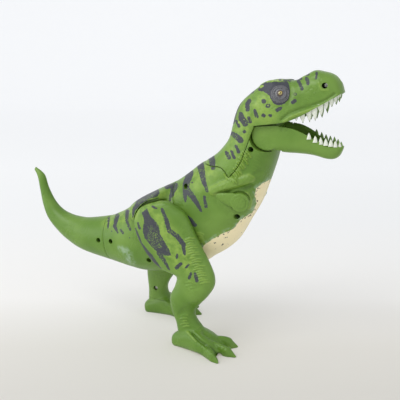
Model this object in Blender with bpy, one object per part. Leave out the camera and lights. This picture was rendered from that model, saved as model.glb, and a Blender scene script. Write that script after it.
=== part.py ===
"""Articulated toy dinosaur figure: screwed shell halves, pinned jaw and head, swivelling limbs.

All driving dimensions are in millimetres in the figure's own frame: +X to the snout, +Y to the
figure's left, +Z up, with the soles of both feet on Z = 0. Meshes are scaled to metres.
"""
import math

import bmesh
import bpy
from mathutils import Matrix, Vector

MM = 0.001
WALL = 2.5
GAP = 0.3
SEAM_GAP = 0.4
SIDES = 14
INNER_SIDES = 10
FAR = 400.0
# Middle of the whole figure's outer box on the floor, which becomes the origin
CENTRE = (1.503, 0.195)

# Sections of the animal from the tail tip to the snout: top x, z, bottom x, z, half width, squareness
HIDE = [
    (-170.0, 167.0, -171.5, 163.5, 1.6, 2.0),
    (-159.5, 159.0, -167.5, 156.0, 3.8, 2.0),
    (-155.0, 145.0, -164.5, 140.0, 5.0, 2.0),
    (-148.0, 131.0, -161.0, 124.0, 7.0, 2.0),
    (-139.0, 121.5, -155.0, 110.0, 9.2, 2.0),
    (-128.0, 116.5, -143.0, 97.0, 11.5, 2.0),
    (-116.0, 114.5, -128.0, 86.0, 14.0, 2.0),
    (-103.0, 114.5, -107.0, 77.0, 17.0, 2.1),
    (-76.0, 119.6, -70.0, 70.2, 22.3, 2.1),
    (-64.5, 124.2, -58.5, 68.6, 25.0, 2.2),
    (-52.0, 131.0, -46.0, 66.5, 28.0, 2.2),
    (-37.0, 143.0, -27.0, 65.0, 31.5, 2.3),
    (-19.0, 153.0, 2.0, 68.0, 33.5, 2.3),
    (6.0, 165.5, 36.0, 82.0, 34.3, 2.3),
    (21.0, 176.0, 48.0, 91.5, 34.5, 2.4),
    (33.0, 185.5, 60.0, 101.5, 34.3, 2.5),
    (45.0, 193.0, 74.0, 115.0, 33.0, 2.5),
    (53.5, 200.0, 86.0, 133.0, 31.0, 2.5),
    (61.5, 210.0, 96.0, 151.0, 28.5, 2.4),
    (65.0, 218.0, 103.0, 170.0, 27.0, 2.3),
    (67.0, 227.0, 109.5, 190.0, 25.8, 2.3),
    (70.0, 238.0, 114.0, 207.0, 25.6, 2.4),
    (76.0, 248.5, 119.0, 220.0, 26.4, 2.8),
    (88.0, 259.5, 130.0, 221.5, 26.8, 2.9),
    (103.0, 270.0, 137.0, 221.6, 25.3, 2.7),
    (116.0, 270.5, 146.0, 226.6, 21.6, 2.7),
    (129.0, 270.0, 153.8, 231.0, 18.5, 2.8),
    (136.5, 274.0, 160.7, 235.0, 17.0, 2.8),
    (145.0, 280.0, 167.3, 239.0, 16.0, 2.8),
    (155.0, 278.5, 172.7, 244.5, 14.2, 2.7),
    (163.5, 275.0, 175.5, 250.0, 11.0, 2.5),
    (170.5, 269.0, 174.2, 258.0, 4.5, 2.0),
]
TAIL_SEAM = 8
WAIST_SEAM = 13
NAPE_START = 15
NECK_TOP = 22
TIP = len(HIDE) - 1

# Side view of the head piece: nape edge, cheek edge and lip line, then round above the head
NAPE_EDGE = [
    (18.0, 197.0), (35.0, 189.0), (50.0, 187.0), (60.0, 187.2), (65.5, 184.5), (71.5, 178.5),
    (76.5, 184.5), (82.0, 193.0), (86.0, 205.0), (89.5, 216.0), (94.0, 228.0),
]
LIP_LINE = [
    (122.0, 232.0), (129.0, 234.5), (140.0, 240.0), (148.0, 245.0),
    (155.0, 249.5), (163.0, 254.5), (169.0, 258.5), (182.0, 267.5),
]
ABOVE_HEAD = [(182.0, 310.0), (18.0, 310.0)]
PALATE_RISE = 4.0
PALATE_THICKNESS = 2.5
PALATE_START = 136.0
LIP_THICKNESS = 3.4

# Lower jaw sections: top x, z, bottom x, z, half width, squareness
JAW = [
    (104.0, 229.0, 104.0, 209.0, 21.1, 3.4),
    (116.0, 228.5, 112.0, 207.0, 21.2, 3.4),
    (127.0, 226.5, 124.0, 205.5, 21.0, 3.4),
    (135.0, 224.0, 133.0, 205.0, 20.0, 3.2),
    (142.5, 220.0, 143.0, 204.0, 18.2, 3.0),
    (148.5, 216.0, 151.5, 202.0, 16.0, 3.0),
    (156.0, 213.5, 159.5, 200.0, 14.0, 3.0),
    (163.5, 212.0, 166.5, 199.0, 11.3, 2.8),
    (170.5, 211.0, 171.0, 200.8, 7.5, 2.5),
    (174.5, 210.0, 173.5, 206.0, 3.0, 2.0),
]
# Lines of the tooth roots: x, z and distance from the middle; then the teeth's heights
UPPER_TOOTH_LINE = [
    (131.5, 236.2, 21.0), (137.0, 239.0, 19.1), (145.8, 243.9, 16.3), (152.9, 248.4, 14.9),
    (159.9, 252.7, 14.0), (166.3, 256.9, 12.2), (170.3, 259.4, 9.0), (172.0, 260.6, 4.4),
]
UPPER_TEETH = [4.5, 6.0, 7.2, 7.8, 7.0, 5.8, 6.4, 5.6, 4.6, 3.6]
LOWER_TOOTH_LINE = [
    (145.0, 215.3, 15.5), (152.0, 212.8, 13.4), (158.5, 211.3, 11.4),
    (164.0, 210.4, 9.3), (168.5, 210.1, 6.9), (172.0, 209.8, 3.0),
]
LOWER_TEETH = [4.6, 5.4, 5.6, 5.4, 5.0, 4.6, 4.0]
TOOTH_SINK = 1.4
# Eye: x, z and distance from the middle, then its radius; brow: the same with its three half axes
EYE = (120.0, 259.0, 16.8)
EYE_RADIUS = 7.0
BROW = (115.0, 266.4, 16.2)
BROW_AXES = (13.0, 4.4, 3.6)
AXLE = (107.0, 221.0)
AXLE_RADIUS = 2.0
JAW_DISC_RADIUS = 13.5
JAW_ARM_IN = 18.4
JAW_ARM_OUT = 21.5
AXLE_END = 19.9
JAW_FLOOR_START = 119.5
LUG_IN = 15.0
LUG_OUT = 18.0
NECK_CHEEK = 14.6
STUB_INSET = 3.2
STUB_TOP_RADIUS = 36.5

# Leg sections, hip to ankle: rear x, z, front x, z, centre distance from the middle, half thickness
RIGHT_LEG = [
    (-12.0, 146.5, 3.0, 151.5, 40.0, 4.0),
    (-20.5, 140.5, 12.0, 151.0, 39.6, 7.2),
    (-26.0, 128.0, 24.0, 144.5, 39.0, 9.2),
    (-24.0, 115.0, 32.0, 138.0, 39.0, 9.8),
    (-18.0, 104.0, 41.0, 120.0, 39.0, 10.0),
    (-8.0, 90.0, 49.0, 105.0, 39.0, 10.0),
    (5.0, 81.0, 57.0, 90.0, 39.0, 10.0),
    (20.0, 76.0, 61.0, 78.0, 38.8, 10.2),
    (19.0, 66.0, 60.0, 68.0, 38.5, 10.6),
    (13.5, 54.0, 53.0, 57.0, 38.0, 11.0),
    (13.5, 44.0, 45.0, 48.0, 37.5, 10.0),
    (15.5, 35.0, 39.5, 40.0, 37.0, 8.6),
    (19.0, 26.0, 41.0, 31.0, 36.5, 8.3),
    (21.0, 14.0, 50.0, 20.0, 36.2, 9.0),
]
LEFT_LEG = [
    (-4.0, 151.3, 12.0, 151.3, 40.0, 4.0),
    (-14.0, 147.0, 23.0, 146.0, 39.6, 7.2),
    (-22.5, 137.5, 30.0, 135.5, 39.0, 9.2),
    (-27.0, 126.0, 32.5, 121.0, 39.0, 9.8),
    (-32.0, 111.0, 28.0, 104.0, 39.0, 10.0),
    (-38.0, 97.0, 19.0, 88.0, 39.0, 10.0),
    (-44.0, 84.0, 8.0, 75.0, 39.0, 10.0),
    (-48.0, 72.0, -4.0, 65.0, 38.8, 10.2),
    (-50.0, 60.0, -12.0, 57.0, 38.5, 10.6),
    (-50.0, 48.0, -18.0, 47.0, 38.0, 10.6),
    (-49.0, 38.0, -24.0, 37.5, 37.5, 9.6),
    (-48.0, 29.0, -25.5, 29.5, 37.0, 8.6),
    (-48.0, 20.0, -22.0, 22.0, 36.5, 8.3),
    (-48.5, 10.0, -14.0, 14.0, 36.2, 9.0),
]
LEG_WALL = 2.3
LEG_SPLIT = 38.0
LEG_FLAT = 35.8
LEG_FLAT_RADIUS = 54.0
HIP = (3.0, 123.0)
HIP_STUB_RADIUS = 7.0
HIP_BOSS_RADIUS = 16.0
HIP_BOSS_OUT = 35.4
HIP_BOSS_IN = 28.0

# Foot sections: distance from the back of the heel, low z, high z, half width
FOOT = [
    (0.0, 3.0, 9.0, 3.5),
    (3.0, -1.5, 12.5, 8.0),
    (11.0, -1.5, 17.0, 10.5),
    (24.0, -1.5, 23.0, 11.5),
    (37.0, -1.5, 19.5, 12.8),
    (48.0, -1.5, 12.5, 13.0),
    (56.0, -1.0, 5.0, 8.0),
]
# Toe sections: share of the toe's length, low z, high z, half width
TOE = [
    (0.0, -1.5, 13.5, 5.6),
    (0.35, -1.5, 11.5, 5.0),
    (0.72, -1.5, 9.6, 4.5),
    (0.83, -1.2, 6.6, 2.8),
    (1.0, 0.2, 1.6, 0.6),
]
# Toe root and tip: distance along the foot, distance to the outer side
TOES = [((38.0, 7.0), (64.0, 21.0)), ((38.0, 0.0), (73.0, 0.0)), ((38.0, -7.0), (64.0, -22.0))]

# Arm pivot on the chest, its outward axis for the right side, and the limb's sections
ARM_PIVOT = (82.0, 27.0, 155.0)
ARM_AXIS = (0.30, -0.95, -0.03)
ARM_REST = (-0.96, 0.0, 0.28)
ARM_DISC_RADIUS = 9.0
ARM_THICKNESS = 7.0
ARM_STUB_RADIUS = 4.0
# Arm sections: distance from the pivot, half breadth, low and high side along the axis
ARM = [(-1.0, 7.6, 1.4, 6.4), (8.0, 7.0, 1.4, 6.4), (15.0, 5.0, 1.6, 6.0), (20.0, 3.4, 2.0, 5.4),
       (23.5, 1.4, 2.8, 4.4)]

SCREW_HEAD_RADIUS = 2.3
SCREW_HEAD_HEIGHT = 1.5
SCREW_SHANK_RADIUS = 1.0
RECESS_RADIUS = 2.7
POST_RADIUS = 4.2
PILOT_RADIUS = 1.3

GREEN = (0.130, 0.300, 0.045, 1.0)
STEEL = (0.560, 0.560, 0.550, 1.0)

for old in list(bpy.data.objects):
    bpy.data.objects.remove(old, do_unlink=True)

PARTS = bpy.data.collections.new("toy_dinosaur_figure")
CUTTERS = bpy.data.collections.new("cutters")
bpy.context.scene.collection.children.link(PARTS)
bpy.context.scene.collection.children.link(CUTTERS)


def material(name, colour, roughness, metallic):
    """A plain surface with its colour, roughness and metallic value."""
    mat = bpy.data.materials.new(name)
    mat.use_nodes = True
    shader = mat.node_tree.nodes["Principled BSDF"]
    shader.inputs["Base Color"].default_value = colour
    shader.inputs["Roughness"].default_value = roughness
    shader.inputs["Metallic"].default_value = metallic
    return mat


# Colour, roughness and metallic value of the two finishes
PLASTIC = (GREEN, 0.42, 0.0)
METAL = (STEEL, 0.35, 1.0)


def object_from(name, bm, collection=CUTTERS, mat=None, smooth=True):
    """Turn a bmesh drawn in millimetres into a named object in metres."""
    bmesh.ops.recalc_face_normals(bm, faces=bm.faces)
    bmesh.ops.translate(bm, vec=(-CENTRE[0], -CENTRE[1], 0.0), verts=bm.verts)
    bmesh.ops.scale(bm, vec=(MM, MM, MM), verts=bm.verts)
    mesh = bpy.data.meshes.new(name)
    bm.to_mesh(mesh)
    bm.free()
    if smooth:
        mesh.shade_smooth()
        mesh.set_sharp_from_angle(angle=math.radians(35.0))
    obj = bpy.data.objects.new(name, mesh)
    collection.objects.link(obj)
    if mat:
        mesh.materials.append(material(name + "_finish", *mat))
    if collection is CUTTERS:
        obj.display_type = 'WIRE'
        obj.hide_render = True
    return obj


def catmull(table, at):
    """Values of a table of sections at a place between two of them, on a smooth curve."""
    index = min(int(at), len(table) - 2)
    t = at - index
    before = table[max(index - 1, 0)]
    start = table[index]
    end = table[index + 1]
    after = table[min(index + 2, len(table) - 1)]
    values = []
    for a, b, c, d in zip(before, start, end, after):
        values.append(0.5 * (2 * b + (c - a) * t + (2 * a - 5 * b + 4 * c - d) * t * t
                             + (3 * b - a - 3 * c + d) * t ** 3))
    return values


def super_ring(centre, along, across, squareness, sides):
    """Points of a rounded section spanned by two half axes."""
    points = []
    for step in range(sides):
        angle = 2.0 * math.pi * (step + 0.5) / sides
        c = math.cos(angle)
        s = math.sin(angle)
        u = math.copysign(abs(c) ** (2.0 / squareness), c)
        v = math.copysign(abs(s) ** (2.0 / squareness), s)
        points.append(centre + along * u + across * v)
    return points


def loft(name, rings, collection=CUTTERS, mat=None):
    """A closed skin over a row of rings with the same number of points."""
    bm = bmesh.new()
    loops = [[bm.verts.new(point) for point in ring] for ring in rings]
    for lower, upper in zip(loops, loops[1:]):
        for i in range(len(lower)):
            j = (i + 1) % len(lower)
            bm.faces.new((lower[i], lower[j], upper[j], upper[i]))
    bm.faces.new(list(reversed(loops[0])))
    bm.faces.new(loops[-1])
    return object_from(name, bm, collection, mat)


def section_ring(values, inset=0.0, lift=0.0, sides=SIDES):
    """Ring of a body section, drawn in by an inset, with its top raised by a lift."""
    top = Vector((values[0], 0.0, values[1]))
    bottom = Vector((values[2], 0.0, values[3]))
    spine = (top - bottom).normalized()
    top = top - spine * (inset - lift)
    bottom = bottom + spine * inset
    width = max(values[4] - inset, 0.3)
    return super_ring((top + bottom) / 2, (top - bottom) / 2, Vector((0.0, width, 0.0)), values[5], sides)


def hide_loft(name, start, end, inset=0.0, steps=2):
    """Part of the animal's outer form between two places along its sections."""
    count = max(int(round((end - start) * steps)), 1)
    places = [start + (end - start) * i / count for i in range(count + 1)]
    sides = INNER_SIDES if inset else SIDES
    return loft(name, [section_ring(catmull(HIDE, at), inset, 0.0, sides) for at in places])


def prism(name, outline, low_y, high_y):
    """A side-view outline in x and z, extruded across the figure."""
    bm = bmesh.new()
    face = bm.faces.new([bm.verts.new((x, low_y, z)) for x, z in outline])
    extruded = bmesh.ops.extrude_face_region(bm, geom=[face])
    verts = [item for item in extruded["geom"] if isinstance(item, bmesh.types.BMVert)]
    bmesh.ops.translate(bm, vec=(0.0, high_y - low_y, 0.0), verts=verts)
    return object_from(name, bm, smooth=False)


def box(name, low, high):
    """A block between two corners."""
    bm = bmesh.new()
    bmesh.ops.create_cube(bm, size=1.0)
    size = [h - l for l, h in zip(low, high)]
    centre = [(h + l) / 2 for l, h in zip(low, high)]
    bmesh.ops.scale(bm, vec=size, verts=bm.verts)
    bmesh.ops.translate(bm, vec=centre, verts=bm.verts)
    return object_from(name, bm, smooth=False)


def rod(name, start, end, radius, sides=12, collection=CUTTERS, mat=None, end_radius=None):
    """A round bar from one point to another."""
    start = Vector(start)
    end = Vector(end)
    length = (end - start).length
    bm = bmesh.new()
    bmesh.ops.create_cone(bm, cap_ends=True, segments=sides, radius1=radius,
                          radius2=radius if end_radius is None else end_radius, depth=length)
    turn = (end - start).to_track_quat('Z', 'Y').to_matrix().to_4x4()
    bmesh.ops.transform(bm, matrix=Matrix.Translation((start + end) / 2) @ turn, verts=bm.verts)
    return object_from(name, bm, collection, mat)


def half_space(name, point, normal, reach=FAR):
    """A large block whose near face passes through a point, lying on the side of the normal."""
    normal = Vector(normal).normalized()
    bm = bmesh.new()
    bmesh.ops.create_cube(bm, size=reach)
    bmesh.ops.translate(bm, vec=(0.0, 0.0, reach / 2), verts=bm.verts)
    turn = normal.to_track_quat('Z', 'Y').to_matrix().to_4x4()
    bmesh.ops.transform(bm, matrix=Matrix.Translation(Vector(point)) @ turn, verts=bm.verts)
    return object_from(name, bm, smooth=False)


def boolean(target, other, operation, solver='EXACT'):
    """Add one cut, join or overlap to an object."""
    modifier = target.modifiers.new(other.name, 'BOOLEAN')
    modifier.operation = operation
    modifier.object = other
    modifier.solver = solver
    return target


def cut(target, *others):
    """Take other shapes away from an object."""
    for other in others:
        boolean(target, other, 'DIFFERENCE')
    return target


def join(target, *others):
    """Join other shapes to an object."""
    for other in others:
        boolean(target, other, 'UNION')
    return target


def keep(target, other):
    """Keep only what lies inside another shape."""
    return boolean(target, other, 'INTERSECT')


def copy_of(source, name):
    """A second object of the same mesh with the same modifiers, among the cutters."""
    other = source.copy()
    other.data = source.data.copy()
    other.name = name
    CUTTERS.objects.link(other)
    return other


def as_part(obj, name, mat=PLASTIC):
    """Move a finished shape into the figure's collection under its own name."""
    CUTTERS.objects.unlink(obj)
    PARTS.objects.link(obj)
    obj.name = name
    obj.data.name = name
    obj.data.materials.clear()
    obj.data.materials.append(material(name + "_finish", *mat))
    obj.display_type = 'TEXTURED'
    obj.hide_render = False
    return obj


def halves(form, name):
    """Split a form on the figure's middle plane into its right and left moulding."""
    left = copy_of(form, name + "_left_form")
    cut(form, box(name + "_left_side", (-FAR, -GAP / 2, -FAR), (FAR, FAR, FAR)))
    cut(left, box(name + "_right_side", (-FAR, -FAR, -FAR), (FAR, GAP / 2, FAR)))
    return as_part(form, name + "_right"), as_part(left, name + "_left")


def seam_frame(index):
    """Middle of a cross seam, its forward normal, and its half height."""
    top_x, top_z, bottom_x, bottom_z = HIDE[index][:4]
    top = Vector((top_x, 0.0, top_z))
    bottom = Vector((bottom_x, 0.0, bottom_z))
    normal = Vector((top.z - bottom.z, 0.0, bottom.x - top.x)).normalized()
    return (top + bottom) / 2, normal, (top - bottom).length / 2


def grow(outline, distance):
    """Move an outline outward, corner by corner, along the mean of its edges' normals."""
    count = len(outline)
    area = sum(outline[i - 1][0] * outline[i][1] - outline[i][0] * outline[i - 1][1] for i in range(count))
    side = math.copysign(1.0, area)
    grown = []
    for i in range(count):
        before = Vector(outline[i]) - Vector(outline[i - 1])
        after = Vector(outline[(i + 1) % count]) - Vector(outline[i])
        mean = (before.normalized() + after.normalized()).normalized()
        normal = Vector((mean.y, -mean.x)) * side
        grown.append(tuple(Vector(outline[i]) + normal * distance))
    return grown


def turned(name, profile, place, sides):
    """A turned metal piece: radii and heights spun about its own Z, then placed."""
    bm = bmesh.new()
    verts = [bm.verts.new((radius, 0.0, height)) for radius, height in profile]
    edges = [bm.edges.new(pair) for pair in zip(verts, verts[1:])]
    bmesh.ops.spin(bm, geom=verts + edges, cent=(0.0, 0.0, 0.0), axis=(0.0, 0.0, 1.0),
                   angle=2.0 * math.pi, steps=sides, use_merge=True)
    bmesh.ops.remove_doubles(bm, verts=bm.verts, dist=0.0001)
    bmesh.ops.transform(bm, matrix=place, verts=bm.verts)
    return object_from(name, bm, PARTS, METAL)


class Screw:
    """One self-tapping screw along Y: where its head seats, where the halves part, where it ends."""

    def __init__(self, name, x, z, outside, seat, tip):
        self.name = name
        self.x = x
        self.z = z
        self.outside = outside
        self.seat = seat
        self.tip = tip
        self.way = math.copysign(1.0, tip - seat)

    def post(self):
        """The post that carries the screw through the hollow."""
        return rod(self.name + "_post", (self.x, self.outside - 2 * self.way, self.z),
                   (self.x, self.outside + 80.0 * self.way, self.z), POST_RADIUS, 8)

    def bores(self):
        """The recess for the head and the hole for the shank."""
        recess = rod(self.name + "_recess", (self.x, self.outside - 12 * self.way, self.z),
                     (self.x, self.seat, self.z), RECESS_RADIUS, 10)
        pilot = rod(self.name + "_pilot", (self.x, self.seat - 0.5 * self.way, self.z),
                    (self.x, self.tip + 1.0 * self.way, self.z), PILOT_RADIUS, 6)
        return [recess, pilot]

    def fit(self):
        """Model the screw itself: a turned head and shank seated in its recess."""
        head_at = self.seat - (SCREW_HEAD_HEIGHT + GAP) * self.way
        length = abs(self.tip - head_at)
        profile = [(0.0, 0.0), (SCREW_HEAD_RADIUS * 0.8, 0.0), (SCREW_HEAD_RADIUS, 0.5),
                   (SCREW_HEAD_RADIUS, SCREW_HEAD_HEIGHT),
                   (SCREW_SHANK_RADIUS, SCREW_HEAD_HEIGHT), (SCREW_SHANK_RADIUS, length - 1.5), (0.0, length)]
        turn = Vector((0.0, self.way, 0.0)).to_track_quat('Z', 'Y').to_matrix().to_4x4()
        turned(self.name, profile, Matrix.Translation((self.x, head_at, self.z)) @ turn, 8)


def hollow(form, cavities, screws):
    """Hollow a form, leave the screw posts standing, bore them, and fit their screws."""
    for cavity in cavities:
        for screw in screws:
            cut(cavity, screw.post())
        cut(form, cavity)
    for screw in screws:
        cut(form, *screw.bores())
        screw.fit()
    return form


def tail():
    """Tail halves with the swivel spigot that the pelvis captures."""
    centre, normal, _ = seam_frame(TAIL_SEAM)
    form = hide_loft("tail_form", 0, TAIL_SEAM + 1, 0.0, 1)
    cut(form, half_space("tail_front", centre - normal * SEAM_GAP / 2, normal))
    cavity = hide_loft("tail_cavity", 4, TAIL_SEAM + 2, WALL, 1)
    cut(cavity, half_space("tail_wall", centre - normal * 3.2, normal))
    hollow(form, [cavity], [Screw("tail_screw", -80.0, 96.5, -20.0, -9.0, 9.0)])
    join(form, rod("tail_spigot", centre - normal * 2.0, centre + normal * 4.6, 9.0, 20))
    join(form, rod("tail_flange", centre + normal * 3.9, centre + normal * 5.6, 13.0, 20))
    halves(form, "tail")


def pelvis():
    """Pelvis halves: walls that hold the tail and waist spigots, and the hip bosses."""
    rear, rear_normal, _ = seam_frame(TAIL_SEAM)
    front, front_normal, _ = seam_frame(WAIST_SEAM)
    form = hide_loft("pelvis_form", TAIL_SEAM - 1, WAIST_SEAM + 1, 0.0, 1)
    cut(form, half_space("pelvis_rear", rear + rear_normal * SEAM_GAP / 2, -rear_normal))
    cut(form, half_space("pelvis_front", front - front_normal * SEAM_GAP / 2, front_normal))
    cavity = hide_loft("pelvis_cavity", TAIL_SEAM - 2, WAIST_SEAM + 2, WALL, 1)
    cut(cavity, half_space("pelvis_rear_wall", rear + rear_normal * 3.6, -rear_normal))
    cut(cavity, half_space("pelvis_front_wall", front - front_normal * 3.4, front_normal))
    for side in (-1, 1):
        cut(cavity, rod("hip_boss_core", (HIP[0], side * HIP_BOSS_IN, HIP[1]), (HIP[0], side * 45, HIP[1]),
                        HIP_BOSS_RADIUS - 1.2, 16))
    screws = [
        Screw("pelvis_rear_screw", -62.8, 98.0, -23.0, -10.0, 9.0),
        Screw("pelvis_low_screw", -16.0, 84.0, -27.0, -12.0, 9.0),
    ]
    hollow(form, [cavity], screws)
    for side in (-1, 1):
        join(form, rod("hip_boss", (HIP[0], side * 30.0, HIP[1]), (HIP[0], side * HIP_BOSS_OUT, HIP[1]),
                       HIP_BOSS_RADIUS, 20))
        cut(form, rod("hip_bore", (HIP[0], side * 20.0, HIP[1]), (HIP[0], side * 45.0, HIP[1]),
                      HIP_STUB_RADIUS + GAP, 16))
    cut(form, rod("tail_bore", rear - rear_normal * 4, rear + rear_normal * 6, 9.4, 20))
    cut(form, rod("waist_bore", front - front_normal * 6, front + front_normal * 4, 20.4, 24))
    halves(form, "pelvis")


def head_outline():
    """Whole side-view outline that bounds the head piece."""
    return NAPE_EDGE + LIP_LINE + ABOVE_HEAD


def jaw_pocket_outline(radius):
    """Side view of the room for the jaw arms: round the axle, then forward and up."""
    arc = []
    for step in range(6):
        angle = math.radians(270.0 - 18.0 * step)
        arc.append((AXLE[0] + radius * math.cos(angle), AXLE[1] + radius * math.sin(angle)))
    return arc + [(arc[-1][0], 248.0), (144.0, 248.0), (144.0, arc[0][1] - 1.0)]


def stub_trim_outline():
    """Side view of what the nape shell sweeps above and behind the axle."""
    arc = []
    for step in range(7):
        angle = math.radians(90.0 + 15.0 * step)
        arc.append((AXLE[0] + STUB_TOP_RADIUS * math.cos(angle), AXLE[1] + STUB_TOP_RADIUS * math.sin(angle)))
    return arc + [(45.0, AXLE[1]), (45.0, 262.0), (AXLE[0], 262.0)]


def arm_matrix(side):
    """Placement of an arm: its axis outward along local Z, the limb along local X."""
    axis = Vector((ARM_AXIS[0], ARM_AXIS[1] * side, ARM_AXIS[2])).normalized()
    along = Vector(ARM_REST)
    along = (along - axis * along.dot(axis)).normalized()
    across = axis.cross(along)
    turn = Matrix((along, across, axis)).transposed().to_4x4()
    return Matrix.Translation(Vector((ARM_PIVOT[0], -ARM_PIVOT[1] * side, ARM_PIVOT[2]))) @ turn


def arm_form(name, place):
    """The arm's disc and limb about its pivot."""
    form = rod(name, place @ Vector((0.0, 0.0, 0.0)), place @ Vector((0.0, 0.0, ARM_THICKNESS)),
               ARM_DISC_RADIUS, 16,
               end_radius=ARM_DISC_RADIUS - 1.5)
    rings = []
    for along, breadth, low, high in ARM:
        centre = Vector((along, 0.0, (low + high) / 2))
        ring = super_ring(centre, Vector((0.0, breadth, 0.0)), Vector((0.0, 0.0, (high - low) / 2)), 2.3, 10)
        rings.append([place @ point for point in ring])
    return join(form, loft(name + "_limb", rings))


def torso():
    """Torso halves with the waist spigot, the neck stub under the nape, and the arm pockets."""
    centre, normal, _ = seam_frame(WAIST_SEAM)
    form = hide_loft("torso_form", WAIST_SEAM - 1, NECK_TOP + 1, 0.0, 1)
    cut(form, half_space("torso_rear", centre + normal * SEAM_GAP / 2, -normal))
    cut(form, half_space("neck_top", (0.0, 0.0, 237.0), (0.0, 0.0, 1.0)))
    nape = prism("nape_pocket", grow(head_outline(), SEAM_GAP), -60.0, 60.0)
    cut(nape, hide_loft("neck_stub", NAPE_START - 2, NECK_TOP + 2, STUB_INSET, 1))
    cut(form, nape)
    cut(form, prism("stub_trim", stub_trim_outline(), -60.0, 60.0))
    jaw_pocket = prism("jaw_pocket", jaw_pocket_outline(JAW_DISC_RADIUS + 0.8), -55.0, 55.0)
    cut(jaw_pocket, box("neck_core", (60.0, -NECK_CHEEK, 180.0), (160.0, NECK_CHEEK, 260.0)))
    cut(form, jaw_pocket)
    cut(form, prism("mouth_back", [(117.0, 207.0), (160.0, 200.0), (160.0, 250.0), (120.0, 250.0)], -50.0,
                    50.0))
    cavity = hide_loft("torso_cavity", WAIST_SEAM - 2, 16, WALL, 1)
    cut(cavity, half_space("torso_wall", centre + normal * 3.4, -normal))
    neck_cavity = hide_loft("neck_cavity", 15, 20, STUB_INSET + WALL + 0.6, 1)
    cut(neck_cavity, rod("axle_core", (AXLE[0], -60, AXLE[1]), (AXLE[0], 60, AXLE[1]),
                         JAW_DISC_RADIUS + 3.2, 20))
    for side in (-1, 1):
        place = arm_matrix(side)
        core = rod("arm_core", place @ Vector((0, 0, -7.0)), place @ Vector((0, 0, 12.0)), 8.5, 16)
        cut(neck_cavity, core)
        cut(cavity, core)
    screws = [
        Screw("torso_back_screw", 25.0, 165.0, -24.0, -9.0, 9.0),
        Screw("torso_belly_screw", 78.5, 139.0, -30.0, -12.0, 9.0),
        Screw("torso_neck_screw", 91.5, 205.5, -24.0, -11.0, 9.0),
    ]
    hollow(form, [cavity, neck_cavity], screws)
    join(form, rod("waist_spigot", centre + normal * 2.0, centre - normal * 4.4, 20.0, 24))
    join(form, rod("waist_flange", centre - normal * 3.8, centre - normal * 6.2, 25.0, 24))
    cut(form, rod("axle_bore", (AXLE[0], -60, AXLE[1]), (AXLE[0], 60, AXLE[1]), AXLE_RADIUS + GAP, 12))
    for side in (-1, 1):
        place = arm_matrix(side)
        cut(form, rod("arm_seat", place @ Vector((0, 0, -GAP)), place @ Vector((0, 0, 14.0)),
                      ARM_DISC_RADIUS + 0.5, 16))
        cut(form, rod("arm_bore", place @ Vector((0, 0, -16.0)), place @ Vector((0, 0, 4.0)),
                      ARM_STUB_RADIUS + GAP, 12))
    halves(form, "torso")
    rod("neck_axle", (AXLE[0], -AXLE_END, AXLE[1]), (AXLE[0], AXLE_END, AXLE[1]), AXLE_RADIUS, 12, PARTS,
        METAL)


def tooth(bm, root, tip, heading, breadth, thickness):
    """A flattened, pointed tooth whose breadth follows the lip's heading."""
    axis = (tip - root).normalized()
    along = (heading - axis * heading.dot(axis)).normalized()
    across = axis.cross(along)
    ring = []
    for step in range(5):
        angle = 2.0 * math.pi * step / 5 + 0.3
        ring.append(bm.verts.new(root + along * breadth * math.cos(angle)
                                 + across * thickness * math.sin(angle)))
    point = bm.verts.new(tip)
    for i in range(5):
        bm.faces.new((ring[i], ring[(i + 1) % 5], point))
    bm.faces.new(ring)


def curve_point(line, share):
    """Point at a share of the run of a polyline."""
    points = [Vector(p) for p in line]
    lengths = [(b - a).length for a, b in zip(points, points[1:])]
    left = share * sum(lengths)
    for a, b, length in zip(points, points[1:], lengths):
        if left <= length:
            return a.lerp(b, left / length)
        left -= length
    return points[-1]



def tooth_row(name, line, heights, side, down, lean):
    """One side's row of teeth, each sunk into the lip by its root."""
    bm = bmesh.new()
    for index, height in enumerate(heights):
        share = index / (len(heights) - 1)
        place = curve_point(line, share)
        step = curve_point(line, min(share + 0.05, 1.0)) - curve_point(line, max(share - 0.05, 0.0))
        way = -1.0 if down else 1.0
        root = Vector((place.x, side * place.z, place.y - way * TOOTH_SINK))
        tip = root + Vector((lean * height * way, 0.0, way * (height + TOOTH_SINK)))
        tooth(bm, root, tip, Vector((step.x, side * step.z, step.y)), 2.0, 1.0)
    return object_from(name, bm)


def dome(name, place, axes, side, segments):
    """A rounded bulge on one side of the head."""
    bm = bmesh.new()
    bmesh.ops.create_uvsphere(bm, u_segments=segments, v_segments=segments // 2 + 1, radius=1.0)
    bmesh.ops.scale(bm, vec=axes, verts=bm.verts)
    bmesh.ops.translate(bm, vec=(place[0], side * place[2], place[1]), verts=bm.verts)
    return object_from(name, bm)


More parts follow.
